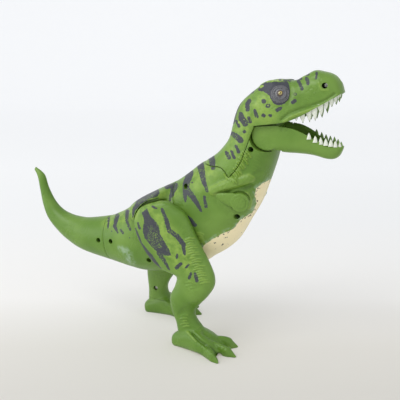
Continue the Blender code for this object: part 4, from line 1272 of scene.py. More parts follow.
class SharedNodes:
    """Node groups that several finishes use."""

    @staticmethod
    def _new(name: str, inputs: Dict[str, float], outputs: Sequence[str]) -> GroupParts:
        """A group with number inputs and outputs, and its board.

        Args:
            name: name of the group.
            inputs: inputs and their usual values.
            outputs: names of the outputs.

        Returns:
            The group, its board, and the sockets to read from and to fill.
        """
        tree = bpy.data.node_groups.new(name, 'ShaderNodeTree')
        for key, value in inputs.items():
            socket = tree.interface.new_socket(key, in_out='INPUT', socket_type='NodeSocketFloat')
            socket.default_value = value
        for key in outputs:
            tree.interface.new_socket(key, in_out='OUTPUT', socket_type='NodeSocketFloat')
        board = NodeBoard(tree)
        entry = board.add('NodeGroupInput')
        leave = board.add('NodeGroupOutput')
        return tree, board, entry.outputs, leave.inputs

    @classmethod
    @lru_cache(maxsize=None)
    def paint_edge(cls) -> bpy.types.NodeTree:
        """Turns a distance inside a painted shape into a mask with a hand-brushed edge.

        Returns:
            The group.
        """
        usual = {"Distance": 0.0, "Waver": 1.0, "Scale": 400.0, "Softness": 0.25}
        tree, board, inputs, outputs = cls._new("paint_edge", usual, ["Mask"])
        place = board.place()
        fine = board.noise(place, inputs["Scale"], 4.0, 0.65)
        waver = board.times(board.less(fine, 0.5), inputs["Waver"])
        shifted = board.plus(inputs["Distance"], waver)
        scaled = board.math('DIVIDE', shifted, inputs["Softness"])
        board.link(board.plus(scaled, 0.5, clamp=True), outputs["Mask"])
        return tree

    @classmethod
    @lru_cache(maxsize=None)
    def broken_cover(cls) -> bpy.types.NodeTree:
        """Specks where a dry brush or handling has left no paint.

        Returns:
            The group.
        """
        tree, board, inputs, outputs = cls._new("broken_cover", {"Scale": 900.0, "Amount": 0.3}, ["Mask"])
        place = board.place()
        fine = board.noise(place, inputs["Scale"], 5.0, 0.7)
        limit = board.less(0.75, board.times(inputs["Amount"], 0.45))
        rise = board.math('DIVIDE', board.less(fine, limit), 0.06)
        board.link(board.plus(rise, 0.0, clamp=True), outputs["Mask"])
        return tree

    @classmethod
    @lru_cache(maxsize=None)
    def moulded_hide(cls) -> bpy.types.NodeTree:
        """Height of small pebbled scales and of the mould's fine grain.

        Returns:
            The group.
        """
        usual = {"Scales": 520.0, "Scale Depth": 1.0, "Grain": 2600.0}
        tree, board, inputs, outputs = cls._new("moulded_hide", usual, ["Height"])
        place = board.place()
        cells = board.add('ShaderNodeTexVoronoi', feature='SMOOTH_F1')
        board.link(place, cells.inputs["Vector"])
        board.link(inputs["Scales"], cells.inputs["Scale"])
        hollow = board.ramp(cells.outputs["Distance"], 0.25, 0.75)
        patchy = board.ramp(board.noise(place, 55.0, 2.0), 0.42, 0.62)
        scales = board.times(board.times(hollow, -1.0), board.times(patchy, inputs["Scale Depth"]))
        grain = board.times(board.noise(place, inputs["Grain"], 2.0), 0.12)
        board.link(board.plus(scales, grain), outputs["Height"])
        return tree

    @classmethod
    @lru_cache(maxsize=None)
    def worn_edge(cls) -> bpy.types.NodeTree:
        """Mask of sharp outer edges, broken by noise.

        Returns:
            The group.
        """
        tree, board, inputs, outputs = cls._new("worn_edge", {"Amount": 0.5}, ["Mask"])
        place = board.place()
        sharp = board.ramp(board.add('ShaderNodeNewGeometry').outputs["Pointiness"], 0.52, 0.62)
        broken = board.ramp(board.noise(place, 700.0, 3.0), 0.42, 0.6)
        board.link(board.times(board.times(sharp, broken), inputs["Amount"]), outputs["Mask"])
        return tree


def new_material(name: str) -> Tuple[bpy.types.Material, NodeBoard, bpy.types.Node]:
    """A material with its board and its shader.

    Args:
        name: its name.

    Returns:
        The material, its board and its shader.
    """
    mat = bpy.data.materials.new(name)
    mat.use_nodes = True
    return mat, NodeBoard(mat.node_tree), mat.node_tree.nodes["Principled BSDF"]


@dataclass(frozen=True)
class HidePaint:
    """Green plastic with charcoal stripes, cream belly, light brushed high places and painted shade in
    hollows.
    """

    green: Colour = (0.148, 0.268, 0.038, 1.0)
    deep_green: Colour = (0.100, 0.206, 0.020, 1.0)
    light_green: Colour = (0.285, 0.420, 0.066, 1.0)
    shade_green: Colour = (0.030, 0.070, 0.008, 1.0)
    charcoal: Colour = (0.042, 0.045, 0.057, 1.0)
    cream: Colour = (0.880, 0.760, 0.470, 1.0)
    halo: Colour = (0.340, 0.460, 0.330, 1.0)
    speck: Colour = (0.085, 0.080, 0.060, 1.0)
    roughness: float = 0.40

    def make(self) -> bpy.types.Material:
        """Build the material.

        Returns:
            The painted hide, which reads the attributes that lay_paint stores.
        """
        mat, board, shader = new_material("painted_hide")
        place = board.place()
        hide = board.group(SharedNodes.moulded_hide())
        clouds = board.ramp(board.noise(place, 22.0, 3.0), 0.35, 0.65)
        base = board.mix(clouds, self.green, self.deep_green)
        warm = board.ramp(board.attribute("warm_paint"), -7.0, 6.0)
        warm_noise = board.times(warm, board.ramp(board.noise(place, 160.0, 4.0), 0.30, 0.66))
        base = board.mix(board.times(warm_noise, 0.62), base, self.light_green)
        raised = board.ramp(board.attribute("raised"), 0.12, 0.7)
        brushed = board.times(raised, board.ramp(board.noise(place, 420.0, 4.0), 0.15, 0.55))
        broad = board.times(board.ramp(board.attribute("raised"), 1.1, 2.2), 0.22)
        base = board.mix(board.times(brushed, board.less(0.42, broad)), base, self.light_green)
        # Painted shade: the hide darkens in its sunk creases, and more in its deep trenches.
        sunk = board.ramp(board.times(board.attribute("raised"), -1.0), 0.15, 1.6)
        base = board.mix(board.times(sunk, 0.5), base, self.deep_green)
        trench = board.ramp(board.times(board.attribute("raised"), -1.0), 1.4, 3.6)
        base = board.mix(board.times(trench, 0.55), base, self.shade_green)
        cream_mask = board.group(SharedNodes.paint_edge(), Distance=board.attribute("cream_paint"),
                                 Waver=2.4, Scale=240.0, Softness=0.5)
        cream_gaps = board.group(SharedNodes.broken_cover(), Scale=520.0, Amount=0.12)
        covered = board.less(1.0, board.times(cream_gaps.outputs["Mask"], 0.35))
        cream_share = board.times(cream_mask.outputs["Mask"], covered)
        edge = board.ramp(board.attribute("cream_paint"), -4.5, 0.0)
        feather = board.times(edge, board.ramp(board.noise(place, 230.0, 4.0), 0.40, 0.62))
        base = board.mix(board.times(feather, 0.6), base, self.halo)
        base = board.mix(cream_share, base, self.cream)
        rim = board.times(board.ramp(board.attribute("cream_paint"), 0.0, 0.6),
                         board.less(1.0, board.ramp(board.attribute("cream_paint"), 1.2, 2.6)))
        specks = board.times(rim, board.ramp(board.noise(place, 330.0, 2.0), 0.585, 0.62))
        dots = board.ramp(board.noise(place, 210.0, 3.0, 0.6), 0.668, 0.69)
        stray = board.times(cream_mask.outputs["Mask"], dots)
        base = board.mix(board.math('MAXIMUM', specks, stray), base, self.speck)
        dark_mask = board.group(SharedNodes.paint_edge(), Distance=board.attribute("dark_paint"),
                                Waver=2.6, Scale=430.0, Softness=0.35)
        gaps = board.group(SharedNodes.broken_cover(), Scale=760.0, Amount=0.5)
        patches = board.ramp(board.noise(place, 75.0, 2.0), 0.50, 0.60)
        whole = board.less(1.0, board.ramp(board.attribute("whole_paint"), -1.5, 0.5))
        broken = board.times(board.plus(board.times(patches, 0.75), 0.12), whole)
        hollow_gap = board.times(gaps.outputs["Mask"], broken)
        dark_share = board.times(dark_mask.outputs["Mask"], board.less(1.0, hollow_gap))
        base = board.mix(dark_share, base, self.charcoal)
        dabs = board.group(SharedNodes.paint_edge(), Distance=board.attribute("light_dabs"), Waver=1.4,
                           Scale=600.0, Softness=0.3)
        base = board.mix(board.times(dabs.outputs["Mask"], 0.9), base, self.light_green)
        wear_and_sheen = board.group(SharedNodes.worn_edge(), Amount=0.45)
        base = board.mix(wear_and_sheen.outputs["Mask"], base, self.light_green)
        # Pale scuff marks low on the pelvis, partly painted light that falls there from the left.
        rubbed_and_sheen = board.times(board.ramp(board.attribute("scuffs"), -3.0, 2.0),
                             board.ramp(board.noise(place, 190.0, 4.0), 0.36, 0.62))
        base = board.mix(board.times(rubbed_and_sheen, 0.62), base, self.halo)
        board.link(base, shader.inputs["Base Color"])
        matt = board.times(board.math('MAXIMUM', dark_share, cream_share), 0.12)
        streaks = board.times(board.noise(place, 95.0, 4.0), 0.12)
        board.link(board.plus(board.plus(matt, streaks), self.roughness - 0.06), shader.inputs["Roughness"])
        thick = board.times(dark_share, 0.15)
        board.bump(shader, board.plus(hide.outputs["Height"], thick), 0.42, 0.0006)
        shader.inputs["Specular IOR Level"].default_value = 0.42
        return mat


@dataclass(frozen=True)
class BarePlastic:
    """Self-coloured green plastic, as on cut faces, the jaw and the insides."""

    name: str = "bare_plastic"
    green: Colour = (0.150, 0.270, 0.036, 1.0)
    deep_green: Colour = (0.112, 0.222, 0.024, 1.0)
    worn_green: Colour = (0.30, 0.46, 0.12, 1.0)
    roughness: float = 0.37
    scale_depth: float = 0.25

    def make(self) -> bpy.types.Material:
        """Build the material.

        Returns:
            The plastic.
        """
        mat, board, shader = new_material(self.name)
        place = board.place()
        clouds = board.ramp(board.noise(place, 26.0, 3.0), 0.35, 0.65)
        base = board.mix(clouds, self.green, self.deep_green)
        wear_and_sheen = board.group(SharedNodes.worn_edge(), Amount=0.35)
        base = board.mix(wear_and_sheen.outputs["Mask"], base, self.worn_green)
        board.link(base, shader.inputs["Base Color"])
        streaks = board.times(board.noise(place, 110.0, 4.0), 0.14)
        board.link(board.plus(streaks, self.roughness - 0.07), shader.inputs["Roughness"])
        hide = board.group(SharedNodes.moulded_hide(), Scale_Depth=self.scale_depth)
        board.bump(shader, hide.outputs["Height"], 0.25, 0.0005)
        shader.inputs["Specular IOR Level"].default_value = 0.45
        return mat


@dataclass(frozen=True)
class ToothPaint:
    """White paint brushed on the outer faces of the teeth, over green plastic."""

    white: Colour = (0.720, 0.740, 0.640, 1.0)
    green: Colour = (0.215, 0.340, 0.095, 1.0)

    def make(self) -> bpy.types.Material:
        """Build the material, which reads the attribute that tells the outer faces.

        Returns:
            The paint of the teeth.
        """
        mat, board, shader = new_material("tooth_paint")
        place = board.place()
        cover = board.group(SharedNodes.paint_edge(), Distance=board.attribute("outer_face"), Waver=0.9,
                            Scale=900.0, Softness=0.45)
        gaps = board.group(SharedNodes.broken_cover(), Scale=1300.0, Amount=0.35)
        share = board.times(cover.outputs["Mask"], board.less(1.0, board.times(gaps.outputs["Mask"], 0.6)))
        board.link(board.mix(share, self.green, self.white), shader.inputs["Base Color"])
        board.link(board.plus(board.times(board.noise(place, 600.0, 3.0), 0.2), 0.28),
                   shader.inputs["Roughness"])
        board.bump(shader, board.noise(place, 1500.0, 3.0), 0.3, 0.0003)
        return mat


@dataclass(frozen=True)
class EyePaint:
    """Glossy dark eye with a small yellow iris round a black pupil."""

    dark: Colour = (0.060, 0.042, 0.034, 1.0)
    grey: Colour = (0.042, 0.040, 0.046, 1.0)
    iris: Colour = (0.420, 0.330, 0.080, 1.0)
    pupil: Colour = (0.008, 0.007, 0.006, 1.0)
    # The pupil's shift forward and up from the eye's middle, in millimetres
    pupil_shift: Tuple[float, float] = (1.0, 1.5)
    iris_radius: float = 0.0015
    pupil_radius: float = 0.0006

    def make(self) -> bpy.types.Material:
        """Build the material, which rings the place of the pupil.

        Returns:
            The paint of the eyeball.
        """
        mat, board, shader = new_material("eye_paint")
        place = board.place()
        shift = board.add('ShaderNodeMapping')
        middle = place_of((EYE[0] + self.pupil_shift[0], 0.0, EYE[1] + self.pupil_shift[1]))
        shift.inputs["Location"].default_value = (-middle.x, 0.0, -middle.z)
        board.link(place, shift.inputs["Vector"])
        flat = board.add('ShaderNodeVectorMath', operation='MULTIPLY')
        flat.inputs[1].default_value = (1.0, 0.0, 1.0)
        board.link(shift.outputs["Vector"], flat.inputs[0])
        length = board.add('ShaderNodeVectorMath', operation='LENGTH')
        board.link(flat.outputs["Vector"], length.inputs[0])
        away = length.outputs["Value"]
        ring = board.ramp(away, 0.0030, 0.0050)
        base = board.mix(ring, self.dark, self.grey)
        iris = board.less(1.0, board.ramp(away, self.iris_radius * 0.8, self.iris_radius * 1.25))
        base = board.mix(iris, base, self.iris)
        pupil = board.less(1.0, board.ramp(away, self.pupil_radius * 0.8, self.pupil_radius * 1.2))
        base = board.mix(pupil, base, self.pupil)
        board.link(base, shader.inputs["Base Color"])
        board.link(board.plus(board.times(board.noise(place, 500.0, 3.0), 0.12), 0.10),
                   shader.inputs["Roughness"])
        shader.inputs["Coat Weight"].default_value = 0.6
        shader.inputs["Coat Roughness"].default_value = 0.08
        return mat


@dataclass(frozen=True)
class LidPaint:
    """Charcoal lid with pale grey scuff marks and painted highlights on its ridges."""

    name: str = "lid_paint"
    charcoal: Colour = (0.052, 0.054, 0.066, 1.0)
    scuff_and_sheen_grey: Colour = (0.330, 0.330, 0.340, 1.0)
    scuffs: float = 0.3

    def make(self) -> bpy.types.Material:
        """Build the material.

        Returns:
            The paint of a lid or of its ridges.
        """
        mat, board, shader = new_material(self.name)
        place = board.place()
        # Pale grey specks: scuff marks, and painted highlights where light catches the lid's rings.
        wear_and_sheen = board.group(SharedNodes.broken_cover(), Scale=850.0, Amount=0.75)
        base = board.mix(board.times(wear_and_sheen.outputs["Mask"], self.scuffs), self.charcoal, self.scuff_and_sheen_grey)
        board.link(base, shader.inputs["Base Color"])
        board.link(board.plus(board.times(board.noise(place, 500.0, 3.0), 0.2), 0.28),
                   shader.inputs["Roughness"])
        return mat


@dataclass(frozen=True)
class ScrewSteel:
    """Zinc-plated steel with turning marks and a little dulling."""

    bright: Colour = (0.62, 0.62, 0.60, 1.0)
    dull: Colour = (0.36, 0.35, 0.33, 1.0)

    def make(self) -> bpy.types.Material:
        """Build the material.

        Returns:
            The steel.
        """
        mat, board, shader = new_material("screw_steel")
        place = board.place()
        spots = board.ramp(board.noise(place, 900.0, 4.0), 0.42, 0.68)
        board.link(board.mix(spots, self.bright, self.dull), shader.inputs["Base Color"])
        board.link(board.plus(board.times(spots, 0.25), 0.26), shader.inputs["Roughness"])
        shader.inputs["Metallic"].default_value = 1.0
        marks = board.add('ShaderNodeTexWave', wave_type='RINGS')
        board.link(place, marks.inputs["Vector"])
        marks.inputs["Scale"].default_value = 1600.0
        board.bump(shader, marks.outputs["Fac"], 0.15, 0.0001)
        return mat


class Finish(Enum):
    """The figure's finishes."""

    PAINTED = HidePaint()
    BARE = BarePlastic()
    TEETH = ToothPaint()
    EYE = EyePaint()
    LID = LidPaint()
    LID_RIDGE = LidPaint("lid_ridge_paint", (0.036, 0.037, 0.045, 1.0), scuffs=0.26)
    STEEL = ScrewSteel()


@lru_cache(maxsize=None)
def material_of(finish: Finish) -> bpy.types.Material:
    """The material of a finish, made on first use."""
    return finish.value.make()


def wear_finish(obj: Form, finish: Finish) -> None:
    """Give all of an object one finish.

    Args:
        obj: the object.
        finish: its finish.
    """
    obj.data.materials.clear()
    obj.data.materials.append(material_of(finish))


def seam_frame(index: int) -> Tuple[Points, Points]:
    """Middle and forward normal of a cross seam.

    Args:
        index: the seam's row in the sections.

    Returns:
        The middle and the normal.
    """
    top = np.array((HIDE[index][0], 0.0, HIDE[index][1]))
    bottom = np.array((HIDE[index][2], 0.0, HIDE[index][3]))
    normal = np.array((top[2] - bottom[2], 0.0, bottom[0] - top[0]))
    return (top + bottom) / 2, normal / np.linalg.norm(normal)


def arm_matrix(side: Side) -> Matrix:
    """Placement of an arm: its axis outward along local Z, the limb along local X, in millimetres.

    Args:
        side: side of the figure.

    Returns:
        The placement.
    """
    way = -side.value
    axis = Vector((ARM_AXIS[0], ARM_AXIS[1] * way, ARM_AXIS[2])).normalized()
    along = Vector(ARM_REST)
    along = (along - axis * along.dot(axis)).normalized()
    turn = Matrix((along, axis.cross(along), axis)).transposed().to_4x4()
    return Matrix.Translation(Vector((ARM_PIVOT[0], -ARM_PIVOT[1] * way, ARM_PIVOT[2]))) @ turn


@dataclass
class ShellHalf:
    """One moulded half of the body, between two seams of the hide."""

    part: str
    body: str
    start: float
    end: float
    screws: List[Tuple[float, float, float]] = field(default_factory=list)
    dark: Tuple[object, ...] = (HIDE_STRIPES,)
    cream: Tuple[object, ...] = ()
    spacing: float = 1.0
    around: int = 160

    def shape(self, points: Points, side: Side) -> Points:
        """Broad changes of form that the sections can't give."""
        return points

    def name(self, side: Side) -> str:
        """Name of the half on one side."""
        return "%s_%s" % (self.part, side.name.lower())

    def skin(self, side: Side) -> Form:
        """The sculpted half as a closed form.

        Args:
            side: side of the figure.

        Returns:
            The closed half.
        """
        loft = SectionLoft(HIDE, self.start, self.end, self.spacing, self.around, relief=body_relief,
                           shape=self.shape)
        return loft.half(self.name(side) + "_hide", side)

    def fit_seams(self, form: Form, side: Side) -> None:
        """Cut the half to its seams."""

    def bore_screws(self, form: Form, side: Side) -> None:
        """Sink the recesses that the screw heads sit in, on the side that the screws enter.

        Args:
            form: the half.
            side: side of the figure.
        """
        if side is not Side.RIGHT:
            return
        for x, z, seat_depth in self.screws:
            carve(form, bar("recess", (x, -60.0, z), (x, -seat_depth, z), RECESS_RADIUS, 32))

    def build(self) -> None:
        """Make both halves, cut them and dress them."""
        for side in Side:
            form = self.skin(side)
            self.fit_seams(form, side)
            self.bore_screws(form, side)
            lay_paint(form, self.dark, self.cream, body_relief)
            settle(form, self.body, [self.name(side)])


class Tail(ShellHalf):
    """The tail, from its tip to the swivel seam."""

    def fit_seams(self, form: Form, side: Side) -> None:
        """Face the tail's root."""
        centre, normal = seam_frame(TAIL_SEAM)
        carve(form, half_space("root", centre - normal * SEAM_GAP / 2, normal))


class Pelvis(ShellHalf):
    """The pelvis, between the tail seam and the waist, with a shelf of hide over each thigh."""

    shelf_start: Dict[Side, float] = {Side.RIGHT: 30.6, Side.LEFT: 31.3}
    shelf_turns: Dict[Side, Tuple[float, float]] = {Side.RIGHT: (80.0, 192.0), Side.LEFT: (80.0, 150.0)}
    shelf_out: float = 40.0
    shelf_drop: float = 0.075
    # Near and far ends of the round room and of the boss, from the middle plane
    hip_room: Tuple[float, float] = (34.6, 60.0)
    boss: Tuple[float, float] = (28.0, 35.4)
    boss_radius: float = 16.0

    def shape(self, points: Points, side: Side) -> Points:
        """Push the hide out above the thigh's round top.

        Args:
            points: places in the figure's frame, in millimetres.
            side: side of the figure.

        Returns:
            The places after the push.
        """
        dx = points[:, 0] - HIP[0]
        dz = points[:, 2] - HIP[1]
        reach = np.hypot(dx, dz)
        turn = np.degrees(np.arctan2(dz, dx)) % 360.0
        first, last = self.shelf_turns[side]
        window = np.clip((turn - first) / 26.0, 0.0, 1.0) * np.clip((last - turn) / 30.0, 0.0, 1.0)
        window = window * window * (3.0 - 2.0 * window)
        past = np.maximum(reach - self.shelf_start[side], 0.0)
        target = self.shelf_out - self.shelf_drop * past ** 2
        beside = np.abs(points[:, 1])
        room = np.clip((beside - 4.0) / 14.0, 0.0, 1.0)
        near = np.clip((reach - self.shelf_start[side] + 6.0) / 4.0, 0.0, 1.0)
        moved = np.array(points)
        moved[:, 1] += window * room * near * np.maximum(target - beside, 0.0)
        return moved

    def fit_seams(self, form: Form, side: Side) -> None:
        """Face both seams, cut the round room for the thigh and raise the hip boss.

        Args:
            form: the half.
            side: side of the figure.
        """
        rear, rear_normal = seam_frame(TAIL_SEAM)
        front, front_normal = seam_frame(WAIST_SEAM)
        carve(form, half_space("rear", rear + rear_normal * SEAM_GAP / 2, -rear_normal))
        carve(form, half_space("front", front - front_normal * SEAM_GAP / 2, front_normal))
        room = [(HIP[0], side.value * out, HIP[1]) for out in self.hip_room]
        carve(form, bar("hip_room", room[0], room[1], self.shelf_start[side], 128))
        boss = [(HIP[0], side.value * out, HIP[1]) for out in self.boss]
        carve(form, bar("boss", boss[0], boss[1], self.boss_radius, 64), 'UNION')


class Torso(ShellHalf):
    """The torso, with the neck stub under the nape, the jaw's room and the arm seat."""

    neck_top: float = 237.0
    stub_inset: float = 3.2
    stub_radius: float = 36.5
    # Rear edge and top of the room round the neck stub, then front edge and top of the jaw's room
    stub_trim: Tuple[float, float] = (45.0, 262.0)
    jaw_room: Tuple[float, float] = (144.0, 248.0)
    mouth_back: Sequence[Tuple[float, float]] = (
        (113.0, 207.0), (160.0, 200.0), (160.0, 250.0), (113.0, 250.0),
    )
    arm_room: float = 1.5

    def fit_seams(self, form: Form, side: Side) -> None:
        """Cut the waist, the nape's room, the jaw's room and the seat of the arm.

        Args:
            form: the half.
            side: side of the figure.
        """
        centre, normal = seam_frame(WAIST_SEAM)
        carve(form, half_space("waist", centre + normal * SEAM_GAP / 2, -normal))
        carve(form, half_space("neck_top", (0.0, 0.0, self.neck_top), (0.0, 0.0, 1.0)))
        nape = prism("nape_room", HeadOutline.grown(NAPE_GAP), -60.0, 60.0)
        carve(nape, SectionLoft(HIDE, NAPE_START - 2, NECK_TOP + 2, 2.0, 60, self.stub_inset).whole("stub"))
        carve(form, nape)
        edge = arc(AXLE, self.stub_radius, math.pi / 2, math.pi, 24)
        rear, top = self.stub_trim
        carve(form, prism("stub_trim", edge + [(rear, AXLE[1]), (rear, top), (AXLE[0], top)], -60.0, 60.0))
        edge = arc(JAW_CHEEK, JAW_DISC_RADIUS + JAW_ROOM, 1.5 * math.pi, math.pi, 32)
        front, top = self.jaw_room
        room = prism("jaw_room", edge + [(edge[-1][0], top), (front, top), (front, edge[0][1] - 1.0)],
                     -55.0, 55.0)
        carve(room, block("neck_core", (60.0, -14.6, 180.0), (160.0, 14.6, 260.0)))
        carve(form, room)
        carve(form, prism("mouth_back", self.mouth_back, -50.0, 50.0))
        place = arm_matrix(side)
        carve(form, bar("arm_seat", place @ Vector((0, 0, -0.8)), place @ Vector((0, 0, 14.0)),
                        ARM_DISC_RADIUS + self.arm_room, 96))


class HeadOutline:
    """Side view that bounds the head piece: nape edge, cheek edge and lip."""

    @staticmethod
    def points() -> List[Tuple[float, float]]:
        """The outline with its bends rounded."""
        return smooth_line(NAPE_EDGE, NAPE_CORNERS, 5) + smooth_line(LIP_LINE, (), 5) + ABOVE_HEAD

    @classmethod
    def grown(cls, distance: float) -> List[Tuple[float, float]]:
        """The outline moved outward along the mean of its edges' normals.

        Args:
            distance: how far, in millimetres.

        Returns:
            The moved outline.
        """
        outline = cls.points()
        count = len(outline)
        pairs = [(outline[i - 1], outline[i]) for i in range(count)]
        area = sum(a[0] * b[1] - b[0] * a[1] for a, b in pairs)
        way = math.copysign(distance, area)
        grown = []
        for i in range(count):
            before = (Vector(outline[i]) - Vector(outline[i - 1])).normalized()
            after = (Vector(outline[(i + 1) % count]) - Vector(outline[i])).normalized()
            mean = (before + after).normalized()
            grown.append((outline[i][0] + mean.y * way, outline[i][1] - mean.x * way))
        return grown


class Head(ShellHalf):
    """The head with its nape shell, palate and lips."""

    palate_rise: float = 4.0
    palate_start: float = 136.0
    mouth_wall: float = 3.4

    def skin(self, side: Side) -> Form:
        """The sculpted half, on finer faces than the body.

        Args:
            side: side of the figure.

        Returns:
            The closed half.
        """
        return SectionLoft(HIDE, self.start, self.end, 0.6, 220,
                           relief=body_relief).half(self.name(side) + "_hide", side)

    def fit_seams(self, form: Form, side: Side) -> None:
        """Bound the head, hollow it and open the mouth's roof.

        Args:
            form: the half.
            side: side of the figure.
        """
        carve(form, prism("bound", HeadOutline.points(), -60.0, 60.0), 'INTERSECT')
        lip = smooth_line(LIP_LINE, (), 5)
        palate = [(x, z + self.palate_rise + WALL) for x, z in lip if x > self.palate_start]
        palate = [(self.palate_start, 150.0), (self.palate_start, palate[0][1] - 2.0)] + palate
        cavity = SectionLoft(HIDE, NAPE_START - 1, TIP - 1, 2.0, 60, WALL).whole("cavity")
        carve(cavity, prism("above_palate", [(0.0, 150.0)] + palate + [(182.0, 320.0), (0.0, 320.0)],
                            -60.0, 60.0), 'INTERSECT')
        carve(form, cavity)
        roof = [(x, z + self.palate_rise) for x, z in lip]
        mouth = SectionLoft(HIDE, 23, TIP - 1, 1.5, 60, self.mouth_wall).whole("mouth")
        carve(mouth, prism("below_roof", roof + [(182.0, 200.0), (122.0, 200.0)], -60.0, 60.0), 'INTERSECT')
        carve(form, mouth)


@dataclass
class Teeth:
    """A row of pointed teeth on each side of a lip."""

    name: str
    body: str
    roots: Sequence[Tuple[float, float, float, float]]
    lean: float
    breadth: float
    down: bool = True
    flatness: float = 0.6
    bow: float = -0.12
    sunk: float = 1.4

    def tooth(self, root: Vector, tip: Vector, heading: Vector, breadth: float) -> Form:
        """One flattened, slightly bent tooth.

        Args:
            root: middle of the root, in millimetres.
            tip: the point.
            heading: direction of the lip at the root.
            breadth: half its width along the lip.

        Returns:
            The tooth with its place in its mesh.
        """
        deselect()
        length = (tip - root).length
        bpy.ops.mesh.primitive_cone_add(vertices=12, radius1=1.0, radius2=0.12, depth=1.0,
                                        location=(0.0, 0.0, 0.5))
        obj = bpy.context.active_object
        bpy.ops.object.transform_apply(location=True, rotation=True, scale=True)
        bpy.ops.object.mode_set(mode='EDIT')
        bpy.ops.mesh.select_all(action='SELECT')
        bpy.ops.mesh.subdivide(number_cuts=3)
        bpy.ops.object.mode_set(mode='OBJECT')
        axis = (tip - root).normalized()
        way = (heading - axis * heading.dot(axis)).normalized()
        across = axis.cross(way)
        bow = self.bow * length
        for vertex in obj.data.vertices:
            high = vertex.co.z
            swell = (1.0 - high ** 1.7) / max(1.0 - 0.88 * high, 0.12)
            u = vertex.co.x * swell * breadth
            v = vertex.co.y * swell * breadth * self.flatness
            place = root + axis * high * length + way * (u + bow * (high * high - high)) + across * v
            vertex.co = place_of(place)
        return obj

    def build(self) -> None:
        """Make the row on both sides as one piece and dress it."""
        made = []
        sign = -1.0 if self.down else 1.0
        for side in Side:
            for index, (x, z, out, height) in enumerate(self.roots):
                before = self.roots[max(index - 1, 0)]
                after = self.roots[min(index + 1, len(self.roots) - 1)]
                heading = Vector((after[0] - before[0], side.value * (after[2] - before[2]),
                                  after[1] - before[1]))
                root = Vector((x, side.value * out, z - sign * self.sunk))
                tip = root + Vector((self.lean * height, -side.value * 0.08 * height,
                                     sign * (height + self.sunk)))
                made.append(self.tooth(root, tip, heading, self.breadth * (0.55 + 0.045 * height)))
        obj = join(made, self.name)
        wear_finish(obj, Finish.TEETH)
        face_outward(obj.data)
        normals = np.zeros(len(obj.data.vertices) * 3)
        obj.data.vertex_normals.foreach_get("vector", normals)
        normals = normals.reshape(-1, 3)
        outward = np.sign(figure_points(obj)[:, 1]) * normals[:, 1]
        store(obj, "outer_face", outward * 1.4 - 0.35 * normals[:, 0] - 0.05)
        settle(obj, self.body, [], 60.0)


@dataclass
class Eyes:
    """A glossy eyeball and its ringed lid on each side of the head."""

    place: Tuple[float, float] = EYE
    ball: float = 5.2
    ball_out: float = 3.6
    rings: Tuple[Tuple[float, float, float], ...] = ((7.8, 0.9, 0.1), (5.4, 1.0, 1.7))
    lid: float = 8.0
    lid_depth: float = 3.4
    lid_sink: float = 0.6

    def seat_of(self, side: Side) -> Tuple[Vector, Vector]:
        """Place on the head's skin under an eye, and the way that the skin faces there.

        Args:
            side: side of the figure.

        Returns:
            The place in the scene and the outward direction.
        """
        skin = bpy.data.objects["head_%s_hide" % side.name.lower()]
        facing = Vector((0.0, 0.0, 0.0))
        spot = Vector((0.0, 0.0, 0.0))
        for step in range(12):
            angle = math.tau * step / 12
            x = self.place[0] + 6.0 * math.cos(angle)
            z = self.place[1] + 6.0 * math.sin(angle)
            found = skin.ray_cast(place_of((x, side.value * 60.0, z)), Vector((0.0, -side.value, 0.0)))
            spot += found[1] / 12
            facing += found[2]
        return spot, facing.normalized()

    @staticmethod
    def dress(name: str, finish: Finish) -> None:
        """Name and dress the round form that was added last.

        Args:
            name: name of the piece.
            finish: its finish.
        """
        obj = seat(bpy.context.active_object)
        obj.name = name
        wear_finish(obj, finish)
        settle(obj, "head", [], 80.0)

    def build(self) -> None:
        """Make each eye and its lid, and dress them."""
        for side in Side:
            name = side.name.lower()
            middle, outward = self.seat_of(side)
            turn = outward.to_track_quat('Z', 'Y').to_euler()
            deselect()
            bpy.ops.mesh.primitive_uv_sphere_add(segments=40, ring_count=24, radius=self.ball * MM,
                                                 rotation=turn,
                                                 location=middle + outward * (self.ball_out - self.ball) * MM)
            self.dress("eye_" + name, Finish.EYE)
            deselect()
            bpy.ops.mesh.primitive_uv_sphere_add(segments=48, ring_count=24, radius=MM, rotation=turn,
                                                 location=middle - outward * self.lid_sink * MM)
            bpy.context.active_object.scale = (self.lid, self.lid, self.lid_depth)
            self.dress("eye_mound_" + name, Finish.LID)
            for index, (radius, thick, out) in enumerate(self.rings):
                deselect()
                bpy.ops.mesh.primitive_torus_add(location=middle + outward * out * MM, rotation=turn,
                                                 major_segments=56, minor_segments=14,
                                                 major_radius=radius * MM, minor_radius=thick * MM)
                self.dress("eye_lid_%s_%d" % (name, index), Finish.LID_RIDGE)


